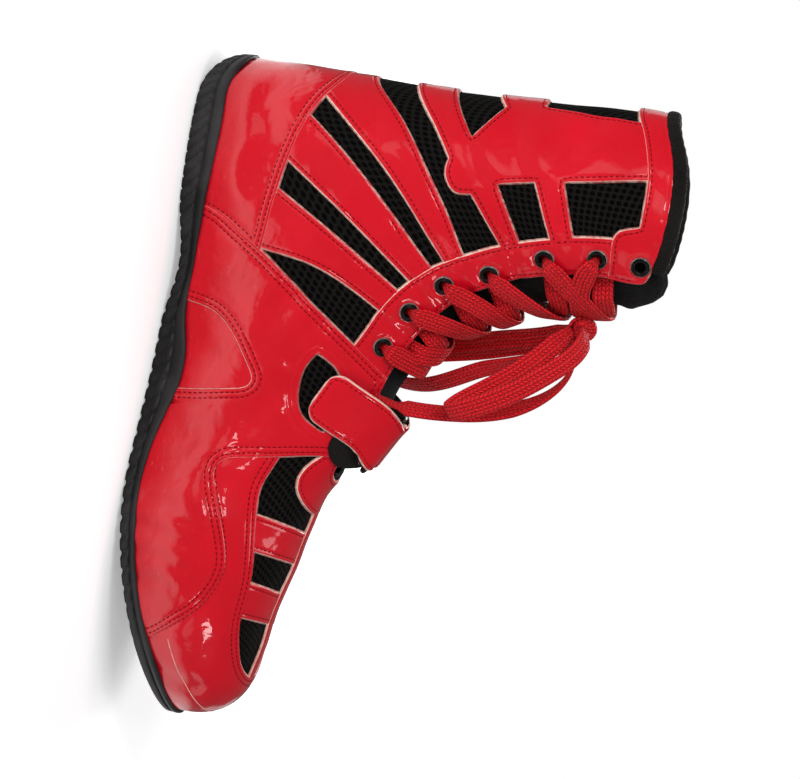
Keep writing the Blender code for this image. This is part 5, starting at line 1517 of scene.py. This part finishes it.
def make_eyelets():
    """All eyelets as one piece; the top ones sit on the collar band, the others on the eyestay."""
    points, faces, kinds = [], [], []
    for side in (-1, 1):
        for number, (x, z) in enumerate(EYELETS):
            s, ring = locate(np.array([x]), np.array([z]))
            along, _, normal = (vectors[0] for vectors in boot_frame(s, side * ring))
            layer = MIDDLE_LAYER if number < LACED_EYELETS else HIGH_LAYER
            seat = skin(s, side * ring, np.array([layer]))[0]
            first = unit(along - normal * along.dot(normal))
            second = np.cross(normal, first)
            start = len(points)
            for radius, height, _ in EYELET_PROFILE:
                for turn in np.linspace(0.0, 2 * np.pi, EYELET_SIDES, endpoint=False):
                    spoke = first * math.cos(turn) + second * math.sin(turn)
                    points.append(seat + spoke * radius + normal * height)
            count = len(EYELET_PROFILE)
            for k in range(count):
                for j in range(EYELET_SIDES):
                    a, b = k * EYELET_SIDES, (k + 1) % count * EYELET_SIDES
                    after = (j + 1) % EYELET_SIDES
                    faces.append((start + a + j, start + b + j, start + b + after, start + a + after))
                    kinds.append(EYELET_PROFILE[k][2])
    numbers = range(1, len(EYELETS) + 1)
    names = [f"eyelet_{side}_{number}" for side in ("inner", "outer") for number in numbers]
    add_piece("eyelets_turned", np.array(points), faces, [enamel, rim_metal_and_glint], names, kinds)


# Across, the fabric's places stay above 0, because its columns are counted from there.
FABRIC_OFFSET = 50.0
BAND_ROUNDNESS = 0.85


def sweep(centres, across, out, half_width, half_thickness, sides=16, closed=False, squareness=0.55):
    """Points, faces and fabric places of a rounded flat band along centres."""
    size = len(centres)
    half_width = np.broadcast_to(half_width, size)
    half_thickness = np.broadcast_to(half_thickness, size)
    lengths = run_lengths(centres)
    rows, uv = [], []
    for turn in np.linspace(0.0, 2 * np.pi, sides, endpoint=False):
        cos, sin = math.cos(turn), math.sin(turn)
        wide = math.copysign(abs(cos) ** squareness, cos)
        tall = math.copysign(abs(sin) ** BAND_ROUNDNESS, sin)
        edge = centres + across * (half_width * wide)[:, None]
        rows.append(edge + out * (half_thickness * tall)[:, None])
        reach = wide * np.maximum(half_width, LACE_WIDTH / 2)
        uv.append(np.stack((lengths, reach + FABRIC_OFFSET), axis=-1))
    return np.concatenate(rows), tube_faces(sides, size, closed), np.concatenate(uv)


def joined(parts):
    """One set of points, faces and fabric places from several."""
    points, faces, uv, start = [], [], [], 0
    for part_points, part_faces, part_uv in parts:
        points.append(part_points)
        uv.append(part_uv)
        faces += [tuple(start + i for i in face) for face in part_faces]
        start += len(part_points)
    return np.concatenate(points), faces, np.concatenate(uv)


def turned(across, out, angle):
    """Two directions that stand square to each other, turned by an angle in their plane."""
    cos, sin = np.cos(angle), np.sin(angle)
    return across * cos + out * sin, out * cos - across * sin


LACE_WIDTH = 8.8
LACE_THICKNESS = 1.9
LACE_LIFT_EYELET = 3.9
LACE_LIFT_RIDGE = 2.6
LACE_LAY = 1.1
LACE_UNDER = -3.0
LACE_UNDER_REACH = 19.0
LACE_UNDER_FADE = 8.0
LACE_BAR_POINTS = 70
LACE_HOLE_DEPTH = 4.0
LACE_HOLE_REACH = 4.2
# Lean of the crossings, from the instep up.
LACE_LEANS = (0.22, -0.16, 0.1, -0.25, 0.18)
KNOT_SECTION = 23.4
KNOT_LIFT = 9.0


def lace_bar(start, end, middle_section, lay, tilt, start_over, end_over):
    """Lace from one eyelet over the tongue to another; each end lies over the eyestay or under it."""
    shares = (1 - np.cos(np.linspace(0.0, np.pi, LACE_BAR_POINTS))) / 2
    ring = start[1] + (end[1] - start[1]) * shares
    hump = 1 - (2 * shares - 1) ** 2
    s = start[0] + (end[0] - start[0]) * shares + (middle_section - (start[0] + end[0]) / 2) * hump
    base = boot(s, ring)
    normal = boot_frame(s, ring)[2]
    lengths = run_lengths(base)
    height = LACE_LIFT_EYELET * (1 - hump) + LACE_LIFT_RIDGE * hump + lay * (0.25 + 0.75 * hump)
    narrow = np.full(len(base), math.inf)
    for over, from_end in ((start_over, lengths), (end_over, lengths[-1] - lengths)):
        if over:
            rise = np.sin(np.clip(from_end / LACE_HOLE_REACH, 0.0, 1.0) * np.pi / 2) ** 0.8
            height = (height + LACE_HOLE_DEPTH) * rise - LACE_HOLE_DEPTH
            narrow = np.minimum(narrow, from_end)
        else:
            sunk = np.clip((LACE_UNDER_REACH - from_end) / LACE_UNDER_FADE, 0.0, 1.0)
            height += (LACE_UNDER - height) * sunk * sunk * (3 - 2 * sunk)
    centres = base + normal * height[:, None]
    flat = unit(np.gradient(base, axis=0))
    across = unit(np.cross(flat, normal))
    along = unit(np.gradient(centres, axis=0))
    out = unit(np.cross(across, along))
    out *= np.sign((out * normal).sum(-1).mean())
    across, out = turned(across, out, tilt * hump[:, None])
    half_width = np.interp(narrow, (0.0, 1.6, 3.4, 6.5), (1.8, 2.0, 3.5, LACE_WIDTH / 2))
    half_thickness = np.interp(narrow, (0.0, 2.0, 9.0), (1.25, 1.25, LACE_THICKNESS / 2))
    return sweep(centres, across, out, half_width, half_thickness)


def make_lace_crossings():
    """Straight first bar, five crossings and the last bar under the knot, as one piece."""
    rows = []
    for x, z in EYELETS[:LACED_EYELETS]:
        s, ring = (float(value[0]) for value in locate(np.array([x]), np.array([z])))
        rows.append(((s, -ring), (s, ring)))
    bars = [(rows[0][0], rows[0][1], rows[0][0][0] - 0.1, 0.0, 0.1, True, True)]
    for (inner, outer), (next_inner, next_outer), lean in zip(rows, rows[1:], LACE_LEANS):
        between = (inner[0] + next_inner[0]) / 2
        start_over = inner is not rows[0][0]
        bars.append((inner, next_outer, between, LACE_LAY, lean, start_over, False))
        bars.append((outer, next_inner, between, -LACE_LAY, -lean, start_over, False))
    bars.append((rows[-1][0], rows[-1][1], KNOT_SECTION, 0.6, 0.0, True, True))
    points, faces, uv = joined([lace_bar(*bar) for bar in bars])
    add_piece("lace_bars", points, faces, [braid], ["lace_crossings"], uv=uv)


# Free runs of the lace, measured from the middle of the knot: name, far end, twist, points of the route.
LACE_ROUTES = (
    ("lace_loop_inner", "knot", 0.0, (
        (0.5, -8.4, 0.9), (3.5, -15.0, 2.5), (10.0, -24.0, 0.5), (18.5, -32.0, -7.5),
        (27.5, -37.0, -18.5), (35.5, -39.0, -31.0), (41.0, -36.5, -42.0), (42.5, -30.5, -46.5),
        (40.0, -24.5, -45.0), (33.5, -20.0, -37.0), (25.0, -17.5, -26.0), (16.5, -14.5, -17.0),
        (8.5, -10.5, -10.0), (1.2, -6.5, -4.2))),
    ("lace_loop_outer", "knot", 0.0, (
        (0.5, 8.4, 0.9), (1.5, 14.0, 1.0), (4.5, 22.5, -3.0), (9.0, 30.0, -14.0), (14.0, 36.0, -29.0),
        (19.0, 39.0, -45.0), (22.5, 38.5, -59.5), (23.0, 35.0, -67.0), (20.5, 31.0, -66.0),
        (17.0, 27.5, -55.0), (12.5, 22.5, -39.0), (8.0, 16.5, -22.0), (4.0, 10.5, -10.5),
        (1.2, 6.5, -4.2))),
    ("lace_end_inner", "bare", 62.0, (
        (5.4, -2.7, -1.4), (10.5, -4.2, -1.0), (19.0, -6.5, -1.6), (29.0, -9.0, -8.0),
        (37.0, -11.5, -19.5), (42.0, -13.5, -33.0), (44.5, -15.0, -47.0), (45.5, -16.5, -60.0),
        (45.0, -18.0, -71.0), (42.4, -20.4, -80.6))),
    ("lace_end_outer", "bare", -62.0, (
        (5.4, 2.7, -1.4), (9.5, 4.0, -4.2), (13.5, 6.0, -13.0), (19.5, 8.5, -27.0), (25.5, 11.5, -41.0),
        (32.5, 16.0, -54.0), (37.5, 23.0, -66.0), (39.0, 31.0, -78.0), (38.0, 37.5, -90.0),
        (36.5, 41.5, -104.0))),
)
KNOT_CENTRE = boot(KNOT_SECTION, 0.0) + boot_frame(KNOT_SECTION, 0.0)[2] * KNOT_LIFT
ROUTE_STEPS = 600
ROUTE_PITCH = 1.0
ROUTE_ENDS = 6
# The lace turns by its twist between these lengths from the knot.
TWIST_RUN = (4.0, 44.0)
# Lace that comes out of the knot: length, half width and half thickness at the knot.
KNOT_REACH = 9.0
KNOT_LACE_HALF_WIDTH = 2.4
KNOT_LACE_HALF_THICKNESS = 1.6
# Bound tip of a bare end: lengths from the tip, half widths there, length and half thickness.
TIP_PLACES = (0.0, 11.0, 15.0)
TIP_HALF_WIDTHS = (1.5, 1.6, LACE_WIDTH / 2)
TIP_LENGTH = 12.0
TIP_HALF_THICKNESS = 1.3


def carried_frame(points, start, normal):
    """Normals carried without twist along a line from one of its points to both ends."""
    along = unit(np.gradient(points, axis=0))
    normals = np.zeros(points.shape)
    normals[start] = unit(normal - along[start] * normal.dot(along[start]))
    for order in (range(start + 1, len(points)), range(start - 1, -1, -1)):
        before = normals[start]
        for i in order:
            before = unit(before - along[i] * before.dot(along[i]))
            normals[i] = before
    return along, normals


def make_free_lace():
    """Loops and ends of the bow as flat braid."""
    for name, far_end, twist, route in LACE_ROUTES:
        route = np.array(route)
        knots = run_lengths(route)
        line = resample(Spline(knots, route)(np.linspace(0.0, knots[-1], ROUTE_STEPS)), ROUTE_PITCH)
        bend = np.gradient(unit(np.gradient(line, axis=0)), axis=0)
        sharpness = np.linalg.norm(bend, axis=1)[ROUTE_ENDS:-ROUTE_ENDS]
        sharpest = ROUTE_ENDS + int(np.argmax(sharpness))
        along, normal = carried_frame(line, sharpest, -bend[sharpest])
        from_start = np.linspace(0.0, 1.0, len(line)) * knots[-1]
        from_far = knots[-1] - from_start
        turn = np.interp(from_start, TWIST_RUN, (0.0, math.radians(twist)))[:, None]
        across, normal = turned(np.cross(along, normal), normal, turn)
        from_knot = np.minimum(from_start, from_far) if far_end == "knot" else from_start
        near_knot = (0.0, KNOT_REACH)
        half_width = np.interp(from_knot, near_knot, (KNOT_LACE_HALF_WIDTH, LACE_WIDTH / 2))
        half_thickness = np.interp(from_knot, near_knot, (KNOT_LACE_HALF_THICKNESS, LACE_THICKNESS / 2))
        if far_end == "bare":
            half_width = np.minimum(half_width, np.interp(from_far, TIP_PLACES, TIP_HALF_WIDTHS))
            half_thickness = np.where(from_far < TIP_LENGTH, TIP_HALF_THICKNESS, half_thickness)
        centres = line + KNOT_CENTRE
        points, faces, uv = sweep(centres, across, normal, half_width, half_thickness)
        piece = add_piece(f"{name}_braid", points, faces, [braid], [name], uv=uv)


KNOT_CORE_POINTS = 31
KNOT_HALF_LENGTH = 8.6
KNOT_CORE_RADIUS = 4.2
KNOT_CORE_LEAST = 0.6
KNOT_TURN_POINTS = 60
KNOT_TURN_RADII = (4.7, 0.0, 5.2)
KNOT_TURN_SLANT = 1.6


def make_knot():
    """Knot of the bow: gathered core and one turn of lace round it."""
    shares = np.linspace(-1.0, 1.0, KNOT_CORE_POINTS)
    arch = 0.9 * (1 - shares ** 2) - 0.5
    core = KNOT_CENTRE + np.stack((shares * 0.4, shares * KNOT_HALF_LENGTH, arch), axis=-1)
    radius = KNOT_CORE_RADIUS * np.sqrt(np.maximum(1 - shares ** 2, 0.02)) + KNOT_CORE_LEAST
    side = np.broadcast_to((1.0, 0.0, 0.0), core.shape)
    up = np.broadcast_to((0.0, 0.0, 1.0), core.shape)
    parts = [sweep(core, side, up, radius, radius, squareness=0.9)]
    turns = np.linspace(0.0, 2 * np.pi, KNOT_TURN_POINTS, endpoint=False)
    spoke = np.stack((np.cos(turns), 0.0 * turns, np.sin(turns)), axis=-1)
    slant = np.stack((0 * turns, KNOT_TURN_SLANT * np.sin(turns + 0.6), 0 * turns), axis=-1)
    ring = KNOT_CENTRE + spoke * KNOT_TURN_RADII + slant
    across = unit(np.cross(unit(np.gradient(ring, axis=0)), spoke))
    parts.append(sweep(ring, across, spoke, 3.7, 0.95, closed=True))
    points, faces, uv = joined(parts)
    add_piece("lace_knot_turns", points, faces, [braid], ["lace_knot"], uv=uv)


STRAP_WIDTH = 24.0
STRAP_THICKNESS = 1.6
STRAP_RING_X = 155.5
STRAP_RING_LIFT = 2.6
STRAP_RING_LENGTH = 29.0
STRAP_RING_SPACING = 8.4
STRAP_RING_WIRE = 1.3
STRAP_RING_CORNER = 2.5
STRAP_FOLD_STEPS = 6
STRAP_FOLD_RUNS = (4.0, 4.5)
STRAP_CORNER = 7.0
STRAP_FOLDED = 12.0
STRAP_PITCH = 0.7
STRAP_PALE = 0.85
STRAP_UNDERSIDE = 0.75
# Rows of the strap's top: distances from its edge, and heights at the first of them.
STRAP_INSETS = (0.0, 0.65, 1.05, 1.55, 2.1, 2.7, 4.0, 6.0, 8.0)
STRAP_HEIGHTS = (-0.5, 0.48, 0.78, 0.82, 0.62, 0.8, 0.8, 0.8, 0.8)
STRAP_STITCH_INSET = 2.1
STRAP_STITCH_LIFT = 0.66
STRAP_STITCH_START = 2.0
STRAP_STITCH_END = 16.0
# Place inside the boot from which the strap's outer face looks away.
STRAP_INSIDE = (140.0, 0.0, 60.0)
# Runs of the straps on the boot's side: x, z, lift.
STRAP_FREE_END = ((136.6, 72.6, 3.6), (139.0, 77.0, 4.2), (144.0, 86.0, 5.0), (149.5, 94.0, 6.2))
KEEPER_FREE_END = ((144.0, 84.0, 5.2), (149.5, 94.0, 6.2))
STRAP_SEWN_END = ((151.0, 95.0, 4.0), (149.0, 91.5, 3.2))


def on_boot(x, z, side, lift):
    """Point over the place of one side that shows at (x, z)."""
    s, ring = locate(np.array([x]), np.array([z]))
    return (boot(s, side * ring) + boot_frame(s, side * ring)[2] * lift)[0]


def ring_frame():
    """Middle of the strap's ring, the way its bars run, and the way out of the instep."""
    row = section_curve(chart_s)
    s = np.interp(-STRAP_RING_X, -row[:, 2], chart_s)
    ahead = boot(s - 0.1, 0.0) - boot(s + 0.1, 0.0)
    bar = unit(ahead * (1.0, 0.0, 1.0))
    out = np.array((-bar[2], 0.0, bar[0]))
    return boot(s, 0.0) + out * STRAP_RING_LIFT, bar, out


def strap_line(side, free_end):
    """Middle line of a strap: free end, fold round the ring's bar, sewn end below."""
    middle, _, out = ring_frame()
    across = np.array((0.0, side, 0.0))
    radius = STRAP_RING_WIRE + 0.3 + STRAP_THICKNESS / 2
    place = STRAP_RING_SPACING / 2
    points = [on_boot(x, z, side, lift) for x, z, lift in free_end]
    points.append(middle + across * (place + STRAP_FOLD_RUNS[0]) + out * radius)
    for step in range(STRAP_FOLD_STEPS + 1):
        angle = math.pi * (0.5 + step / STRAP_FOLD_STEPS)
        points.append(middle + across * (place + radius * math.cos(angle)) + out * radius * math.sin(angle))
    points.append(middle + across * (place + STRAP_FOLD_RUNS[1]) - out * radius)
    points += [on_boot(x, z, side, lift) for x, z, lift in STRAP_SEWN_END]
    return smooth_line(points, STRAP_PITCH)


def make_strap(name, side, free_end):
    """Patent strap with a rounded free end, raw edges and a row of stitches."""
    line = strap_line(side, free_end)
    _, bar, _ = ring_frame()
    along = unit(np.gradient(line, axis=0))
    across = unit(bar - along * (along @ bar)[:, None])
    out = unit(np.cross(along, across))
    out *= np.sign(out[0] @ (line[0] - STRAP_INSIDE))
    lengths = run_lengths(line)
    near = np.minimum(lengths, STRAP_CORNER)
    half = STRAP_WIDTH / 2 - STRAP_CORNER + np.sqrt(STRAP_CORNER ** 2 - (STRAP_CORNER - near) ** 2)
    ends = np.minimum(lengths, lengths[-1] - lengths)
    top_rows = [(-1, inset) for inset in STRAP_INSETS]
    top_rows += [(0, math.inf)] + [(-sign, inset) for sign, inset in reversed(top_rows)]
    rows = []
    for sign, inset in top_rows:
        place = sign * np.maximum(half - inset, 0.2) if sign else 0.0 * half
        edge = np.interp(np.minimum(inset, ends), STRAP_INSETS, STRAP_HEIGHTS)
        rows.append(line + across * place[:, None] + out * edge[:, None])
    for sign in (1, 1 / 3, -1 / 3, -1):
        rows.append(line + across * (half * sign)[:, None] - out * STRAP_UNDERSIDE)
    points, faces = grid_faces(rows)
    size, top = len(line), len(top_rows)
    kinds = []
    for face in faces[:-2]:
        k, i = divmod(face[0], size)
        on_edge = k in (0, top - 2, top - 1, len(rows) - 1) or i == 0
        folded_back = lengths[i] > lengths[-1] - STRAP_FOLDED
        if folded_back or (k >= top and not on_edge):
            kinds.append(2)
        else:
            kinds.append(1 if on_edge else 0)
    kinds += [1, 2]
    materials = [patent, raw_edge, binding_cloth]
    piece = add_piece(f"{name}_patent", points, faces, materials, [name], kinds)
    set_pale(piece, STRAP_PALE)
    keep = (lengths > STRAP_STITCH_START) & (lengths < lengths[-1] - STRAP_STITCH_END)
    for sign in (-1, 1):
        row = line + across * (sign * np.maximum(half - STRAP_STITCH_INSET, 0.3))[:, None]
        add_stitches(row[keep], out[keep], STRAP_STITCH_LIFT)
    turn = np.linspace(-0.92, 0.92, 20)
    start = int(np.searchsorted(lengths, STRAP_STITCH_INSET))
    end_row = line[start] + across[start] * (turn * (half[start] - STRAP_STITCH_INSET))[:, None]
    add_stitches(end_row, np.broadcast_to(out[start], end_row.shape), STRAP_STITCH_LIFT)


def make_strap_ring():
    """Rectangular ring of round wire between the two straps."""
    middle, bar, out = ring_frame()
    corner = STRAP_RING_CORNER
    places = []
    for a, b, first in ((1, 1, 0.0), (-1, 1, 0.5), (-1, -1, 1.0), (1, -1, 1.5)):
        centre = (a * (STRAP_RING_LENGTH / 2 - corner), b * (STRAP_RING_SPACING / 2 - corner))
        for turn in np.linspace(first, first + 0.5, 7) * np.pi:
            places.append((centre[0] + corner * math.cos(turn), centre[1] + corner * math.sin(turn)))
    line = np.array([middle + bar * along + np.array((0.0, across, 0.0)) for along, across in places])
    line = resample(np.concatenate((line, line[:1])), 1.0)[:-1]
    along = unit(np.roll(line, -1, axis=0) - np.roll(line, 1, axis=0))
    across = np.cross(along, out)
    lifted = np.broadcast_to(out, line.shape)
    points, faces, _ = sweep(line, across, lifted, STRAP_RING_WIRE, STRAP_RING_WIRE, 12, True, 1.0)
    add_piece("strap_ring_wire", points, faces, [enamel], ["strap_ring"])


PAD_PLACE = 158.5
PAD_HALF_WIDTH = 10.0
PAD_REACH = 23.0
PAD_LIFT = 1.7
PAD_HALF_THICKNESS = 1.2


def make_strap_pad():
    """Black pad across the instep under the straps; its front edge shows beside the strap."""
    turn = np.linspace(-1.0, 1.0, 61)
    s, ring = locate_above(np.full(turn.shape, PAD_PLACE), turn * PAD_REACH)
    frames = boot_frame(s, ring)
    centres = boot(s, ring) + frames[2] * PAD_LIFT
    run = unit(np.gradient(centres, axis=0))
    out = unit(frames[2] - run * (frames[2] * run).sum(-1)[:, None])
    rounding = np.sqrt(np.clip(1 - np.clip((np.abs(turn) - 0.7) / 0.3, 0.0, 1.0) ** 2, 0.02, 1.0))
    points, faces, _ = sweep(centres, np.cross(run, out), out, PAD_HALF_WIDTH * rounding,
                             PAD_HALF_THICKNESS, 24)
    add_piece("strap_pad", points, faces, [binding_cloth])


# Seam round the toe cap from the side: x, z.
TOE_SEAM = ((250.0, 30.2), (256.0, 32.2), (264.0, 35.6), (272.0, 39.6), (279.0, 43.6), (292.0, 51.0))
TOE_SEAM_PALE = 0.55
TOE_SEAM_LIFT = 1.32
TOE_SEAM_PITCH = 0.9
TOE_SEAM_HALF_WIDTH = 0.26
TOE_SEAM_HALF_THICKNESS = 0.13
TOE_SEAM_LAST_SECTION = 8.0


def make_toe_seam():
    """Thin pale seam round the toe cap, along the sole."""
    seam_x, seam_z = columns(TOE_SEAM)
    rows = []
    for s in np.linspace(0.0, TOE_SEAM_LAST_SECTION, 1600) ** 2 / TOE_SEAM_LAST_SECTION:
        ring = np.linspace(0.0, 1.0, 400)
        points = boot(s, ring)
        above = points[:, 2] - np.interp(points[:, 0], seam_x, seam_z)
        if above[0] > 0 and above.min() < 0:
            place = int(np.argmax(above < 0))
            share = above[place - 1] / (above[place - 1] - above[place])
            if points[place, 0] < seam_x[0]:
                break
            rows.append((s, ring[place - 1] + share * (ring[1] - ring[0])))
    outer = np.array(rows)
    line = np.concatenate((outer[::-1] * (1, -1), outer))
    centres = skin(line[:, 0], line[:, 1], np.full(len(line), TOE_SEAM_LIFT))
    lengths = run_lengths(centres)
    places = np.linspace(0.0, lengths[-1], int(lengths[-1] / TOE_SEAM_PITCH))
    s, ring = (np.interp(places, lengths, column) for column in line.T)
    centres = resample(centres, TOE_SEAM_PITCH)[:len(places)]
    normal = boot_frame(s, ring)[2][:len(centres)]
    across = unit(np.cross(unit(np.gradient(centres, axis=0)), normal))
    points, faces, _ = sweep(centres, across, normal, TOE_SEAM_HALF_WIDTH, TOE_SEAM_HALF_THICKNESS, 8)
    piece = add_piece("toe_seam", points, faces, [raw_edge])
    set_pale(piece, TOE_SEAM_PALE)


make_panels()
make_upper()
make_sole()
make_insole()
make_tongue()
make_binding()
make_eyelets()
make_lace_crossings()
make_knot()
make_free_lace()
make_strap("strap", -1, STRAP_FREE_END)
make_strap("strap_keeper", 1, KEEPER_FREE_END)
make_strap_ring()
make_strap_pad()
make_toe_seam()
build_stitches()


CAMERA_AZIMUTH = math.radians(5.0)
CAMERA_ELEVATION = math.radians(9.0)
CAMERA_UP = (-0.985, 0.0, -0.172)
CAMERA_DISTANCE = 0.82
CAMERA_LENS = 85.0
CAMERA_TARGET = (132.0, 0.0, 103.0)


def look_at_shoe():
    """Camera at the photo's angle: it faces the inner side, rolled so that the toe points down."""
    level = math.cos(CAMERA_ELEVATION)
    back = Vector((-math.sin(CAMERA_AZIMUTH) * level, -math.cos(CAMERA_AZIMUTH) * level,
                   math.sin(CAMERA_ELEVATION)))
    right = Vector(CAMERA_UP).cross(back).normalized()
    up = back.cross(right).normalized()
    data = bpy.data.cameras.new("camera")
    data.lens = CAMERA_LENS
    data.clip_start = 0.01
    camera = bpy.data.objects.new("camera", data)
    turn = Matrix((right, up, back)).transposed().to_4x4()
    target = Vector(world(CAMERA_TARGET))
    camera.matrix_world = Matrix.Translation(target + back * CAMERA_DISTANCE) @ turn
    bpy.context.scene.collection.objects.link(camera)
    bpy.context.scene.camera = camera


FLOOR_RADIUS = 0.62
FLOOR_SIDES = 96
SKY_LEVEL = 0.12
WINDOW_SOFT_EDGE = 0.012
WINDOW_SOFT_ENDS = 0.06
# Pale windows round the studio: azimuth from the camera, half angle, lower and upper level, strength.
WINDOWS = ((-27.0, 11.0, -0.34, 0.20, 0.75), (38.0, 10.0, -0.30, 0.24, 0.6), (74.0, 13.0, -0.25, 0.45, 0.8),
           (-150.0, 16.0, -0.3, 0.4, 0.6), (140.0, 14.0, -0.3, 0.4, 0.6))


def add_light(name, place, target, size, power, mirrored):
    data = bpy.data.lights.new(name, "AREA")
    data.shape = "RECTANGLE"
    data.size, data.size_y = size
    data.energy = power
    light = bpy.data.objects.new(name, data)
    light.visible_glossy = mirrored
    light.location = place
    light.rotation_euler = (Vector(target) - Vector(place)).to_track_quat("-Z", "Y").to_euler()
    bpy.context.scene.collection.objects.link(light)


# Area lights: name, place, what they face, size, power, and whether glossy surfaces mirror them.
LIGHTS = (
    ("key", (-0.42, -0.62, 0.46), (-0.06, 0.0, 0.09), (0.60, 0.50), 4.0, False),
    ("gloss", (-0.60, -0.90, 0.62), (0.0, 0.0, 0.08), (0.16, 0.30), 1.4, True),
    ("side", (0.75, -0.85, 0.45), (0.05, 0.0, 0.06), (0.30, 0.70), 1.6, False),
    ("front_glint", (0.62, -0.60, 0.50), (0.10, 0.0, 0.04), (0.07, 0.22), 0.45, True),
    ("side_glint", (-0.22, -0.95, 0.40), (0.0, 0.0, 0.1), (0.09, 0.15), 0.30, True),
    ("top", (-0.1, 0.1, 1.5), (0.0, 0.0, 0.0), (0.9, 0.9), 6.5, True),
    ("rear", (-0.2, 1.1, 0.6), (0.0, 0.0, 0.1), (0.8, 0.5), 7.0, True),
)


def make_floor():
    """White floor lit from inside: it shines less near the shoe, a painted shade there, and glossy rays see
    it dark but for a pale shining band round the shoe, a painted reflection.
    """
    data = bpy.data.meshes.new("floor")
    turns = np.linspace(0.0, 2 * np.pi, FLOOR_SIDES, endpoint=False)
    rim = [(FLOOR_RADIUS * math.cos(turn), FLOOR_RADIUS * math.sin(turn), 0.0) for turn in turns]
    data.from_pydata(rim, [], [tuple(range(len(rim)))])
    material, tree, shader = new_material("floor_white", (0.9, 0.9, 0.91), 0.9)
    shader.inputs["Emission Color"].default_value = (1.0, 1.0, 1.0, 1.0)
    place = object_place(tree)
    far = vector_node(tree, "LENGTH", place).outputs["Value"]
    # Painted shade: the floor shines less near the shoe than further out.
    seen = ramp(tree, far, 0.2, 0.55, 0.35, 0.8)
    oval = vector_node(tree, "MULTIPLY", place, (0.5, 1.0, 1.0)).outputs["Vector"]
    away = vector_node(tree, "LENGTH", oval).outputs["Value"]
    # Painted reflection: to glossy rays the floor shines only in a pale band round the shoe.
    band = math_node(tree, "MULTIPLY", ramp(tree, away, 0.06, 0.10), ramp(tree, away, 0.19, 0.13))
    mirrored = math_node(tree, "ADD", math_node(tree, "MULTIPLY", band, 1.15), 0.04)
    glossy = add_node(tree, "ShaderNodeLightPath").outputs["Is Glossy Ray"]
    glow = add_node(tree, "ShaderNodeMix", {"Factor": glossy, 2: seen, 3: mirrored}).outputs[0]
    tree.links.new(glow, shader.inputs["Emission Strength"])
    # To glossy rays the floor is dark, so that only the painted band shows in reflections.
    shade = mix_colour(tree, glossy, (0.9, 0.9, 0.91), (0.05, 0.05, 0.05))
    tree.links.new(shade, shader.inputs["Base Color"])
    data.materials.append(material)
    floor = bpy.data.objects.new("floor", data)
    bpy.context.scene.collection.objects.link(floor)


def make_sky():
    """White background, and a dim studio with windows for everything but the camera."""
    sky = bpy.data.worlds.new("studio")
    bpy.context.scene.world = sky
    sky.use_nodes = True
    nodes = sky.node_tree
    background = nodes.nodes["Background"]
    way = add_node(nodes, "ShaderNodeTexCoord").outputs["Generated"]
    level = add_node(nodes, "ShaderNodeSeparateXYZ", {"Vector": way}).outputs["Z"]
    lit = SKY_LEVEL
    for azimuth, half_angle, low, high, power in WINDOWS:
        turn = math.radians(azimuth)
        middle = (math.sin(turn), -math.cos(turn), 0.0)
        facing = vector_node(nodes, "DOT_PRODUCT", way, middle).outputs["Value"]
        edge = math.cos(math.radians(half_angle))
        pane = ramp(nodes, facing, edge, edge + WINDOW_SOFT_EDGE, 0.0, power)
        pane = math_node(nodes, "MULTIPLY", pane, ramp(nodes, level, low, low + WINDOW_SOFT_ENDS))
        pane = math_node(nodes, "MULTIPLY", pane, ramp(nodes, level, high, high - WINDOW_SOFT_ENDS))
        lit = math_node(nodes, "ADD", pane, lit)
    seen = add_node(nodes, "ShaderNodeLightPath").outputs["Is Camera Ray"]
    strength = add_node(nodes, "ShaderNodeMix", {"Factor": seen, 2: lit, 3: 1.0}).outputs[0]
    nodes.links.new(strength, background.inputs["Strength"])
    background.inputs["Color"].default_value = (1.0, 1.0, 1.0, 1.0)


look_at_shoe()
make_floor()
make_sky()
for light in LIGHTS:
    add_light(*light)
bpy.context.scene.view_settings.view_transform = "Standard"
